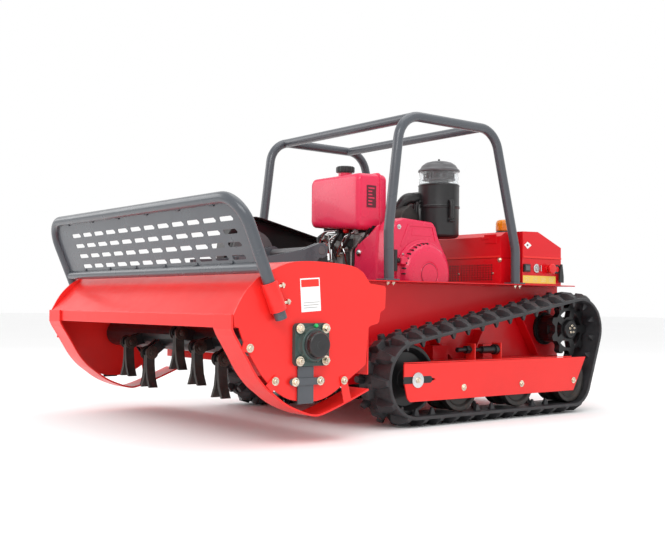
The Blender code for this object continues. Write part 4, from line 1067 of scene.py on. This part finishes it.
def make_box_details():
    """Vents drawn as dark patches of painted shade, screws, switches and stickers on the control box."""
    near = 0.3752
    front = 0.4628
    # The vents are near-black patches flush with the front: painted shade standing in for the dark openings.
    bm = new()
    for first, columns in ((0.130, 12), (0.070, 4)):
        for row in range(7):
            for column in range(columns):
                x, z = first + column * 0.0138, 0.4825 + row * 0.0088
                block(bm, (x - 0.0036, x + 0.0036), (front - 0.0004, front), (z - 0.0023, z + 0.0023))
    finish_piece("box_vent_shade_patches", bm, "chassis", "black_plastic", 0)
    bm = new()
    bolt(bm, (0.322, front, 0.5535), (0, -1, 0), 0.0065, 0.005)
    for x in (0.119, 0.290):
        bolt(bm, (x, front, 0.505), (0, -1, 0), 0.0040, 0.0030, False)
    finish_piece("box_front_screws", bm, "chassis", "zinc", 0.0003)
    bm = new()
    prism(
        bm, [(0.528, 0.4700), (0.712, 0.4700), (0.712, 0.4980), (0.528, 0.4980)], "X", near,
        near + 0.0004,
    )
    finish_piece("box_yellow_band", bm, "chassis", "yellow", 0.0001)
    bm = new()
    for y in (0.538, 0.582, 0.628, 0.674):
        for z in (0.478, 0.484, 0.490):
            block(bm, (near + 0.0004, near + 0.0006), (y, y + 0.026), (z - 0.0005, z + 0.0005))
    finish_piece("box_band_bars", bm, "chassis", "zinc", 0)
    bm = new()
    block(bm, (near, near + 0.0085), (0.528, 0.561), (0.511, 0.539))
    finish_piece("rocker_frame", bm, "chassis", "black_plastic", 0.0012)
    bm = new()
    block(bm, (near + 0.0080, near + 0.0105), (0.533, 0.556), (0.516, 0.534))
    finish_piece("rocker_face", bm, "chassis", "grey_plastic", 0.0008)
    bm = new()
    ring = [(0, 0.0090), (0, 0.0165), (0.0035, 0.0165), (0.0046, 0.0140), (0.0046, 0.0090)]
    turned(bm, rounded(ring, 0.0006), (near, 0.601, 0.525), (1, 0, 0), 48)
    finish_piece("key_ring", bm, "chassis", "bright_steel", 0)
    bm = new()
    ring = [(0, 0.0100), (0, 0.0165), (0.0062, 0.0155), (0.0062, 0.0100)]
    turned(bm, rounded(ring, 0.0006), (near, 0.669, 0.525), (1, 0, 0), 48)
    finish_piece("stop_collar", bm, "chassis", "button_red", 0)
    bm = new()
    socket = [(0, 0), (0, 0.0170), (0.0066, 0.0165), (0.0066, 0.0105), (0.0030, 0.0100), (0.0030, 0)]
    turned(bm, rounded(socket, 0.0006), (near, 0.715, 0.525), (1, 0, 0), 40)
    finish_piece("socket_body", bm, "chassis", "black_plastic", 0)
    bm = new()
    stop = [
        (0, 0), (0, 0.0088), (0.020, 0.0088), (0.020, 0.0190), (0.024, 0.0198), (0.0275, 0.0190),
        (0.0298, 0.0150), (0.0300, 0),
    ]
    turned(bm, rounded(stop, 0.0012), (0.371, 0.669, 0.525), (1, 0, 0), 56)
    finish_piece("stop_mushroom", bm, "emergency_stop", "button_red", 0, 30, ("emergency_stop",))


def make_lid():
    """The lid with its latch, a rim in brighter red as a painted highlight, sticker and beacon."""
    dress_node("control_box_lid", "hull_red", 0.0020)
    bm = new()
    block(bm, (0.235, 0.275), (0.4605, 0.4630), (0.630, 0.6395))
    block(bm, (0.238, 0.272), (0.4585, 0.4608), (0.632, 0.6360))
    finish_piece("lid_latch", bm, "lid", "hull_red", 0.0008)
    # The rim is a thin lip strip in the brighter head red: a real lip with a painted highlight line along it.
    bm = new()
    block(bm, (-0.3258, 0.3258), (0.4608, 0.4628), (0.5620, 0.5690))
    for sign in (-1, 1):
        block(bm, tuple(sorted((sign * 0.3752, sign * 0.3778))), (0.527, 0.743), (0.5620, 0.5690))
        block(bm, tuple(sorted((sign * 0.3752, sign * 0.3770))), (0.527, 0.5285), (0.5690, 0.6540))
    finish_piece("lid_rim_highlight", bm, "lid", "head_red", 0.0006)
    bm = new()
    block(bm, (0.246, 0.306), (0.4608, 0.4628), (0.615, 0.648))
    finish_piece("lid_latch_tab", bm, "lid", "hull_red", 0.0015)
    bm = new()
    prism(bm, [(0.534, 0.609), (0.553, 0.621), (0.575, 0.609), (0.553, 0.595)], "X", 0.3752, 0.3756)
    finish_piece("lid_diamond_sticker", bm, "lid", "white", 0.0001)
    bm = new()
    prism(bm, [(0.546, 0.609), (0.552, 0.613), (0.558, 0.609), (0.552, 0.604)], "X", 0.3756, 0.3758)
    finish_piece("lid_diamond_mark", bm, "lid", "sticker_dark", 0)
    bm = new()
    beacon = middle("beacon_lens")
    base = [(0, 0), (0, 0.0365), (0.018, 0.0365), (0.0235, 0.034), (0.0235, 0)]
    turned(bm, rounded(base, 0.001), (beacon.x, beacon.y, 0.6460), (0, 0, 1), 48)
    finish_piece("beacon_foot", bm, "lid", "black_plastic", 0)
    bm = new()
    lens = [(0, 0), (0, 0.0355), (0.030, 0.0350), (0.040, 0.0310), (0.0435, 0.020), (0.0438, 0)]
    turned(
        bm, rounded(lens, 0.004), (beacon.x, beacon.y, 0.6700), (0, 0, 1), 96,
        lambda t: 1 + 0.010 * math.cos(32 * t),
    )
    finish_piece("beacon_cap", bm, "lid", "amber_lens", 0, 30, ("beacon_lens",))


# ------------------------------------------------------------- engine


def tank_section(y, grow):
    """One section of the tank across Y: a rectangle with round corners, lower on the +X side."""
    left, right, top = -0.160 - grow, 0.124 + grow, 0.848 + grow
    low_left, low_right = 0.668 - grow, 0.650 - grow
    radius = 0.020
    corners = (
        (right, low_right, -1, 1, -90), (right, top, -1, -1, 0), (left, top, 1, -1, 90),
        (left, low_left, 1, 1, 180),
    )
    points = []
    for x, z, sx, sz, first in corners:
        points += arc((x + sx * radius, z + sz * radius), radius, first, first + 90, 7)
    return [Vector((x, y, z)) for x, z in points]


def loft(bm, sections):
    """A closed solid through a row of matching sections."""
    rings = [[bm.verts.new(point) for point in section] for section in sections]
    bm.faces.new(rings[0])
    bm.faces.new(rings[-1])
    for low, high in zip(rings, rings[1:]):
        join_rings(bm, low, high)


def make_tank():
    """The fuel tank in two shells with a seam, its sticker, neck and cap."""
    bm = new()
    steps = [
        (-0.0415, -0.019), (-0.0400, -0.012), (-0.0370, -0.0065), (-0.0320, -0.0025), (-0.0250, 0),
        (0.052, 0.002),
    ]
    loft(bm, [tank_section(y, grow) for y, grow in steps])
    finish_piece("tank_shell", bm, "chassis", "engine_red", 0, 60, ("fuel_tank",))
    bm = new()
    loft(
        bm,
        [
            tank_section(0.0515, 0.005), tank_section(0.0530, 0.0065), tank_section(0.0560, 0.0065),
            tank_section(0.0575, 0.005),
        ],
    )
    finish_piece("tank_seam", bm, "chassis", "engine_red", 0, 60)
    bm = new()
    steps = [(0.0570, 0.003), (0.080, 0.001), (0.0860, -0.002), (0.0900, -0.008), (0.0920, -0.017)]
    loft(bm, [tank_section(y, grow) for y, grow in steps])
    finish_piece("tank_back", bm, "chassis", "engine_red", 0, 60)
    bm = new()
    block(bm, (0.1240, 0.1262), (-0.006, 0.036), (0.728, 0.806))
    finish_piece("tank_side_sticker", bm, "chassis", "sticker_dark", 0.0001)
    bm = new()
    for row in range(6):
        z = 0.796 - row * 0.0115
        width = 0.028 if row % 3 == 0 else 0.018
        block(bm, (0.1262, 0.1264), (0.000, width), (z - 0.0022, z + 0.0022))
    finish_piece("tank_sticker_bars", bm, "chassis", "engine_red", 0)
    cap = middle("fuel_cap")
    bm = new()
    puck(bm, (cap.x, cap.y, 0.8460), (0, 0, 1), 0.025, 0.018, 48, 0.001)
    finish_piece("tank_neck", bm, "chassis", "engine_red", 0)
    bm = new()
    ribbed = [
        (0, 0), (0, 0.0325), (0.003, 0.0332), (0.018, 0.0332), (0.0215, 0.0295), (0.0228, 0.020),
        (0.0228, 0),
    ]
    turned(bm, ribbed, (cap.x, cap.y, 0.8662), (0, 0, 1), 96, lambda t: 1 + 0.030 * math.cos(16 * t))
    finish_piece("fuel_cap_ribbed", bm, "fuel_cap", "black_plastic", 0.0006, 40, ("fuel_cap",))


def make_blower():
    """The blower housing, its front face, ridge, gasket and bolts."""
    low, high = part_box("blower_housing")
    outline = arc(CRANK, 0.141, -180, 30, 28)
    outline += [
        (0.247, 0.600), (0.230, 0.632), (0.220, 0.662), (0.206, 0.680), (0.060, 0.688), (0.028, 0.676),
        (0.012, 0.640),
    ]
    bm = new()
    prism(bm, outline, "X", low.x + 0.0002, high.x - 0.0002)
    obj = finish_piece("blower_shroud", bm, "chassis", "engine_red", 0, 60, ("blower_housing",))
    round_edges(obj, 0.011, 5, 24)
    bm = new()
    front = [
        (0.036, 0.400), (0.170, 0.400), (0.170, 0.668), (0.150, 0.655), (0.120, 0.632), (0.066, 0.606),
        (0.044, 0.588),
    ]
    prism(bm, front, "Y", 0.004, 0.030)
    obj = finish_piece("blower_front", bm, "chassis", "engine_red", 0, 60)
    round_edges(obj, 0.010, 5, 24)
    x = high.x - 0.0004
    bm = new()
    ridge = [
        (0.046, 0.590), (0.082, 0.668), (0.205, 0.668), (0.222, 0.612), (0.212, 0.612), (0.197, 0.660),
        (0.089, 0.660), (0.056, 0.588),
    ]
    prism(bm, ridge, "X", x - 0.004, x + 0.003)
    prism(bm, [(0.098, 0.628), (0.102, 0.652), (0.188, 0.652), (0.196, 0.628)], "X", x - 0.004, x + 0.0016)
    finish_piece("blower_ridge", bm, "chassis", "engine_red", 0.0015)
    edge = [
        (0.036, 0.010, 0.400), (0.036, 0.010, 0.580), (0.066, 0.010, 0.594), (0.096, 0.010, 0.622),
        (0.112, 0.010, 0.648),
    ]
    bm = new()
    sweep(bm, bend_path(edge, 0.02, 6), 0.0058, 14)
    finish_piece("blower_gasket", bm, "chassis", "black_plastic", 0, 60)
    bm = new()
    sweep(
        bm, bend_path([Vector(p) + Vector((-0.011, -0.002, 0.003)) for p in edge[:-1]], 0.02, 6),
        0.0050, 14,
    )
    finish_piece("blower_flange", bm, "chassis", "cast_aluminium", 0, 60)
    bm = new()
    for y, z in ((0.262, 0.420), (0.036, 0.430), (0.040, 0.655)):
        bolt(bm, (x, y, z), (1, 0, 0), 0.0060, 0.005)
    turned(
        bm, rounded([(0, 0), (0, 0.0120), (0.005, 0.0120), (0.009, 0.007), (0.009, 0)], 0.001),
        (0.074, 0.0045, 0.570), (0, -1, 0), 28,
    )
    finish_piece("blower_bolts", bm, "chassis", "bright_steel", 0.0004)


def make_recoil():
    """The recoil cover with its vent slots drawn as painted shade, rope spout and screws."""
    low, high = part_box("recoil_cover")
    base = (low.x, *CRANK)
    depth = high.x - low.x
    bm = new()
    cover = [
        (0, 0), (0, 0.1230), (0.004, 0.1220), (0.007, 0.1130), (0.010, 0.1100), (depth - 0.012, 0.1060),
        (depth - 0.003, 0.0960), (depth - 0.001, 0.080), (depth - 0.001, 0.0440), (depth - 0.003, 0.0430),
        (depth - 0.003, 0.0405), (depth - 0.001, 0.0395), (depth - 0.001, 0),
    ]
    turned(bm, rounded(cover, 0.003), base, (1, 0, 0), 96)
    finish_piece("recoil_disc", bm, "chassis", "engine_red", 0, 40, ("recoil_cover",))
    bm = new()
    # Near-black blocks round the rim stand in for the vent slots: painted shade for the dark openings.
    for i in range(36):
        turn = math.tau * i / 36
        if not 1.45 < turn < 3.3:
            continue
        out = Vector((0, math.cos(turn), math.sin(turn)))
        at = Vector((low.x + 0.0215, *CRANK)) + out * 0.1075
        across = Vector((0, -out.z, out.y))
        corners = []
        for dx, ds in ((-0.0085, -0.0022), (0.0085, -0.0022), (0.0085, 0.0022), (-0.0085, 0.0022)):
            corners.append(at + Vector((dx, 0, 0)) + across * ds)
        solid_between(bm, [c - out * 0.004 for c in corners], [c + out * 0.0022 for c in corners])
    finish_piece("recoil_vent_slot_shade", bm, "chassis", "black_plastic", 0)
    bm = new()
    prism(
        bm, [(0.026, 0.524), (0.080, 0.524), (0.080, 0.551), (0.026, 0.551)], "X", low.x + 0.001,
        low.x + 0.029,
    )
    finish_piece("recoil_spout", bm, "chassis", "engine_red", 0.004)
    bm = new()
    for turn in (35, 145, 215, 325):
        a = math.radians(turn)
        bolt(
            bm, (low.x + 0.0042, CRANK[0] + 0.117 * math.cos(a), CRANK[1] + 0.117 * math.sin(a)),
            (1, 0, 0), 0.0045, 0.004, False,
        )
    finish_piece("recoil_screws", bm, "chassis", "bright_steel", 0.0003)


def make_recoil_label():
    """A plain round plate in the middle of the recoil cover."""
    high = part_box("recoil_cover")[1].x
    bm = new()
    puck(bm, (high - 0.0010, *CRANK), (1, 0, 0), 0.0385, 0.0004, 48)
    finish_piece("recoil_badge_rim", bm, "chassis", "sticker_dark", 0)
    bm = new()
    puck(bm, (high - 0.0006, *CRANK), (1, 0, 0), 0.0365, 0.0004, 48)
    finish_piece("recoil_badge", bm, "chassis", "engine_red", 0)


def make_air_filter():
    """The canister with its elbow and clips, and the clear pre-cleaner above it."""
    x, y, _ = middle("precleaner_bowl")
    y += 0.006
    base_z = 0.631
    bm = new()
    body = [
        (0, 0), (0, 0.060), (0.004, 0.069), (0.010, 0.0735), (0.106, 0.0740), (0.108, 0.0765),
        (0.1105, 0.0765),
        (0.1115, 0.0745), (0.1125, 0.0765), (0.115, 0.0765), (0.117, 0.0745), (0.187, 0.0745),
        (0.191, 0.0760), (0.1930, 0.0745), (0.1930, 0),
    ]
    turned(bm, rounded(body, 0.0012), (x, y, base_z), (0, 0, 1), 72)
    path = bend_path(
        [
            (x - 0.040, y - 0.050, 0.775), (x - 0.060, y - 0.105, 0.775), (x - 0.090, y - 0.128, 0.725),
            (x - 0.110, y - 0.128, 0.668),
        ],
        0.03, 6,
    )
    sweep(bm, path, 0.0205, 28)
    finish_piece("filter_canister", bm, "chassis", "black_plastic", 0, 34, ("air_filter",))
    bm = new()
    for turn in (-10, -108):
        a = math.radians(turn)
        out = Vector((math.cos(a), math.sin(a), 0))
        across = Vector((-out.y, out.x, 0))
        def spot(r, s, z):
            return Vector((x, y, 0)) + out * r + across * s + Vector((0, 0, z))
        for shift in (-0.008, 0.008):
            path = [
                spot(0.0750, shift, 0.7640), spot(0.083, shift, 0.760), spot(0.087, shift, 0.738),
                spot(0.083, shift, 0.700), spot(0.0760, shift, 0.684),
            ]
            sweep(bm, path, 0.0018, 10)
        sweep(bm, [spot(0.0830, -0.0110, 0.690), spot(0.0830, 0.0110, 0.690)], 0.0036, 12)
        sweep(bm, [spot(0.0790, -0.0110, 0.762), spot(0.0790, 0.0110, 0.762)], 0.0036, 12)
        path = [spot(0.0840, -0.004, 0.7600), spot(0.0880, -0.004, 0.7350), spot(0.0850, -0.004, 0.7000)]
        sweep(bm, path, 0.0075, 12)
    finish_piece("filter_clips", bm, "chassis", "black_plastic", 0.0004)
    bowl_z = base_z + 0.193
    bm = new()
    bowl = [
        (0.0005, 0.0640), (0.0005, 0.0725), (0.0480, 0.0715), (0.0490, 0.0700), (0.0490, 0.0670),
        (0.003, 0.0680),
    ]
    turned(bm, bowl, (x, y, bowl_z), (0, 0, 1), 72)
    finish_piece("precleaner_clear_wall", bm, "chassis", "clear_plastic", 0, 40, ("precleaner_bowl",))
    bm = new()
    for i in range(16):
        turn = math.tau * i / 16
        out = Vector((math.cos(turn), math.sin(turn), 0))
        twist = Vector((-out.y, out.x, 0)) * 0.010
        corners = [
            out * 0.036 - twist, out * 0.056 + twist, out * 0.056 + twist * 1.25,
            out * 0.036 - twist * 0.6,
        ]
        low = [Vector((x, y, bowl_z + 0.020)) + c for c in corners]
        high = [Vector((x, y, bowl_z + 0.044)) + c for c in corners]
        solid_between(bm, low, high)
    turned(bm, [(0.002, 0), (0.002, 0.036), (0.047, 0.036), (0.047, 0)], (x, y, bowl_z), (0, 0, 1), 48)
    turned(bm, [(0.0185, 0), (0.0185, 0.060), (0.0215, 0.060), (0.0215, 0)], (x, y, bowl_z), (0, 0, 1), 48)
    finish_piece("precleaner_vanes", bm, "chassis", "grey_plastic", 0, 30)
    low_z = bowl_z + 0.048
    bm = new()
    cap = [
        (0, 0), (0, 0.0750), (0.003, 0.0765), (0.008, 0.0750), (0.012, 0.0690), (0.024, 0.0620),
        (0.034, 0.0480), (0.039, 0.030), (0.0405, 0.012), (0.0410, 0),
    ]
    turned(bm, rounded(cap, 0.002), (x, y, low_z), (0, 0, 1), 72)
    finish_piece("precleaner_lid", bm, "chassis", "grey_plastic", 0, 34, ("precleaner_cap",))
    bm = new()
    turned(
        bm, rounded([(0, 0), (0, 0.0045), (0.0090, 0.0035), (0.0090, 0)], 0.001), (x, y, low_z + 0.040),
        (0, 0, 1), 20,
    )
    finish_piece("precleaner_nut", bm, "chassis", "black_plastic", 0)


def make_engine_clutter():
    """Head fins, pump, injection and return lines, and the brackets under the tank."""
    bm = new()
    for i in range(9):
        z = 0.590 + i * 0.007
        block(bm, (-0.120, 0.060), (0.012, 0.196), (z, z + 0.0028))
    finish_piece("cylinder_fins", bm, "chassis", "cast_aluminium", 0.0008)
    bm = new()
    lines = (
        [(-0.055, 0.000, 0.540), (-0.020, -0.016, 0.585), (0.020, -0.018, 0.628), (0.060, -0.006, 0.645)],
        [(-0.110, 0.004, 0.560), (-0.135, -0.016, 0.610), (-0.100, -0.020, 0.652), (-0.040, -0.004, 0.655)],
        [(-0.085, 0.002, 0.520), (-0.062, -0.020, 0.570), (-0.070, -0.020, 0.620), (-0.020, -0.004, 0.650)],
        [(0.004, 0.004, 0.530), (0.016, -0.016, 0.570), (0.000, -0.018, 0.610), (0.034, 0.000, 0.640)],
    )
    for line in lines:
        sweep(bm, bend_path(line, 0.018, 8), 0.0032, 12)
    finish_piece("fuel_lines", bm, "chassis", "bright_steel", 0, 60)
    bm = new()
    hoses = (
        [(-0.125, 0.010, 0.655), (-0.140, -0.020, 0.628), (-0.118, -0.022, 0.575), (-0.090, 0.000, 0.530)],
        [(0.030, 0.000, 0.655), (0.048, -0.018, 0.636), (0.020, -0.022, 0.598), (-0.020, 0.000, 0.570)],
        [(-0.030, 0.004, 0.660), (-0.012, -0.022, 0.640), (-0.046, -0.024, 0.600), (-0.040, 0.000, 0.540)],
    )
    for line in hoses:
        sweep(bm, bend_path(line, 0.018, 8), 0.0055, 12)
    block(bm, (-0.052, -0.012), (-0.006, 0.020), (0.618, 0.662))
    block(bm, (-0.002, 0.034), (-0.004, 0.020), (0.590, 0.622))
    finish_piece("rubber_hoses", bm, "chassis", "black_plastic", 0.0006, 60)
    bm = new()
    prism(bm, [(-0.135, 0.580), (-0.104, 0.574), (-0.098, 0.600), (-0.124, 0.612)], "Y", -0.014, 0.010)
    turned(
        bm, rounded([(0, 0), (0, 0.010), (0.020, 0.010), (0.024, 0.007), (0.024, 0)], 0.001),
        (0.012, 0.008, 0.652), (0, -1, 0), 28,
    )
    finish_piece("governor_red_cap", bm, "chassis", "button_red", 0.001)
    bm = new()
    turned(
        bm,
        rounded([(0, 0), (0, 0.017), (0.012, 0.017), (0.012, 0.011), (0.030, 0.011), (0.030, 0)], 0.001),
        (-0.112, 0.012, 0.626), (0, -1, 0.2), 24,
    )
    puck(bm, (-0.082, 0.010, 0.600), (0, -1, -0.1), 0.012, 0.022, 6, 0.001)
    puck(bm, (0.030, 0.012, 0.648), (1, -0.3, 0), 0.011, 0.030, 24, 0.001)
    block(bm, (-0.050, -0.004), (-0.008, 0.020), (0.520, 0.575))
    block(bm, (-0.100, -0.060), (-0.004, 0.020), (0.500, 0.548))
    turned(
        bm, rounded([(0, 0), (0, 0.030), (0.010, 0.030), (0.014, 0.022), (0.014, 0)], 0.001),
        (-0.010, 0.012, 0.500), (0, -1, 0), 32,
    )
    for x, z in (
        (-0.044, 0.568), (-0.010, 0.568), (-0.094, 0.542), (-0.066, 0.542), (0.018, 0.586),
        (-0.120, 0.556),
    ):
        bolt(bm, (x, -0.0080, z), (0, -1, 0), 0.0055, 0.005)
    finish_piece("engine_front_fittings", bm, "chassis", "cast_aluminium", 0.0006)
    bm = new()
    block(bm, (-0.140, -0.060), (0.010, 0.030), (0.655, 0.672))
    block(bm, (0.060, 0.120), (0.010, 0.040), (0.640, 0.662))
    block(bm, (0.118, 0.128), (0.020, 0.060), (0.600, 0.664))
    finish_piece("tank_brackets", bm, "chassis", "black_paint", 0.0008)
    bm = new()
    for i in range(6):
        at = (-0.090 + 0.024 * i, -0.012, 0.560 + 0.030 * (i % 3))
        puck(bm, at, (0, -1, 0), 0.0042, 0.009, 6)
    finish_piece("copper_unions", bm, "chassis", "copper", 0.0003)
    bm = new()
    prism(
        bm, [(0.130, 0.690), (0.226, 0.690), (0.214, 0.722), (0.176, 0.746), (0.142, 0.720)], "X",
        0.095, 0.150,
    )
    finish_piece("intake_manifold", bm, "chassis", "wheel_steel", 0.004)


def make_muffler():
    """The muffler can."""
    centre = middle("muffler")
    low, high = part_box("muffler")
    bm = new()
    length = high.x - low.x
    can = [
        (0, 0), (0.001, 0.045), (0.004, 0.054), (0.012, 0.0570), (length - 0.014, 0.0570),
        (length - 0.008, 0.0545),
    ]
    can += [(length - 0.006, 0.047), (length - 0.010, 0.040), (length - 0.010, 0)]
    turned(bm, rounded(can, 0.003), (low.x, centre.y, high.z - 0.0575), (1, 0, 0), 64)
    finish_piece("muffler_can", bm, "chassis", "black_paint", 0, 40)


# ------------------------------------------------------------- stage


def make_stage():
    """A pale floor under a white world."""
    mesh = bpy.data.meshes.new("floor")
    bm = new()
    bmesh.ops.create_grid(bm, x_segments=1, y_segments=1, size=30)
    bm.to_mesh(mesh)
    bm.free()
    floor = bpy.data.objects.new("floor", mesh)
    bpy.context.scene.collection.objects.link(floor)
    shader = Shader("floor_white", (0.93, 0.93, 0.93), 0.9)
    shader.vary_colour(0.5, 0.01)
    mesh.materials.append(shader.material)
    world = bpy.data.worlds.new("studio")
    world.use_nodes = True
    world.node_tree.nodes["Background"].inputs["Color"].default_value = (1, 1, 1, 1)
    world.node_tree.nodes["Background"].inputs["Strength"].default_value = 1.0
    bpy.context.scene.world = world


def area_light(name, at, target, size, power):
    """A rectangular lamp aimed at a point."""
    data = bpy.data.lights.new(name, "AREA")
    data.shape = "RECTANGLE"
    data.size, data.size_y = size
    data.energy = power
    lamp = bpy.data.objects.new(name, data)
    lamp.location = at
    lamp.rotation_mode = "QUATERNION"
    lamp.rotation_quaternion = (Vector(target) - Vector(at)).to_track_quat("-Z", "Y")
    bpy.context.scene.collection.objects.link(lamp)


def make_lights():
    """Key, fill and top lamps."""
    area_light("key", (2.6, -2.6, 3.0), (0, 0, 0.4), (2.4, 1.6), 60)
    area_light("fill", (-2.8, -2.4, 2.0), (0, -0.2, 0.4), (2.4, 2.0), 30)
    area_light("top", (0.3, 0.4, 3.6), (0, 0, 0.3), (3.0, 3.0), 40)


def make_camera():
    """The main view."""
    azimuth, pitch, roll = (math.radians(a) for a in (51.586, 1.412, 0.502))
    level = math.cos(pitch)
    forward = Vector((-math.sin(azimuth) * level, math.cos(azimuth) * level, math.sin(pitch)))
    right = Vector((math.cos(azimuth), math.sin(azimuth), 0))
    up = right.cross(forward)
    right, up = right * math.cos(roll) + up * math.sin(roll), up * math.cos(roll) - right * math.sin(roll)
    data = bpy.data.cameras.new("camera")
    data.sensor_width = 36.0
    data.lens = 53.42
    data.clip_end = 60
    camera = bpy.data.objects.new("camera", data)
    camera.matrix_world = Matrix((
        (right.x, up.x, -forward.x, 2.7528),
        (right.y, up.y, -forward.y, -2.2400),
        (right.z, up.z, -forward.z, 0.3864),
        (0, 0, 0, 1),
    ))
    bpy.context.scene.collection.objects.link(camera)
    bpy.context.scene.camera = camera


def main():
    make_camera()
    make_stage()
    make_lights()
    bpy.context.scene.view_settings.view_transform = "Standard"
    dress_all_nodes()
    make_hood()
    make_end_plates()
    make_skids()
    make_bearings()
    make_straps()
    make_head_label()
    make_guard()
    make_flails()
    make_tracks()
    make_wheels()
    make_track_details()
    make_cage()
    make_box_details()
    make_lid()
    make_tank()
    make_blower()
    make_recoil()
    make_recoil_label()
    make_air_filter()
    make_engine_clutter()
    make_muffler()


main()
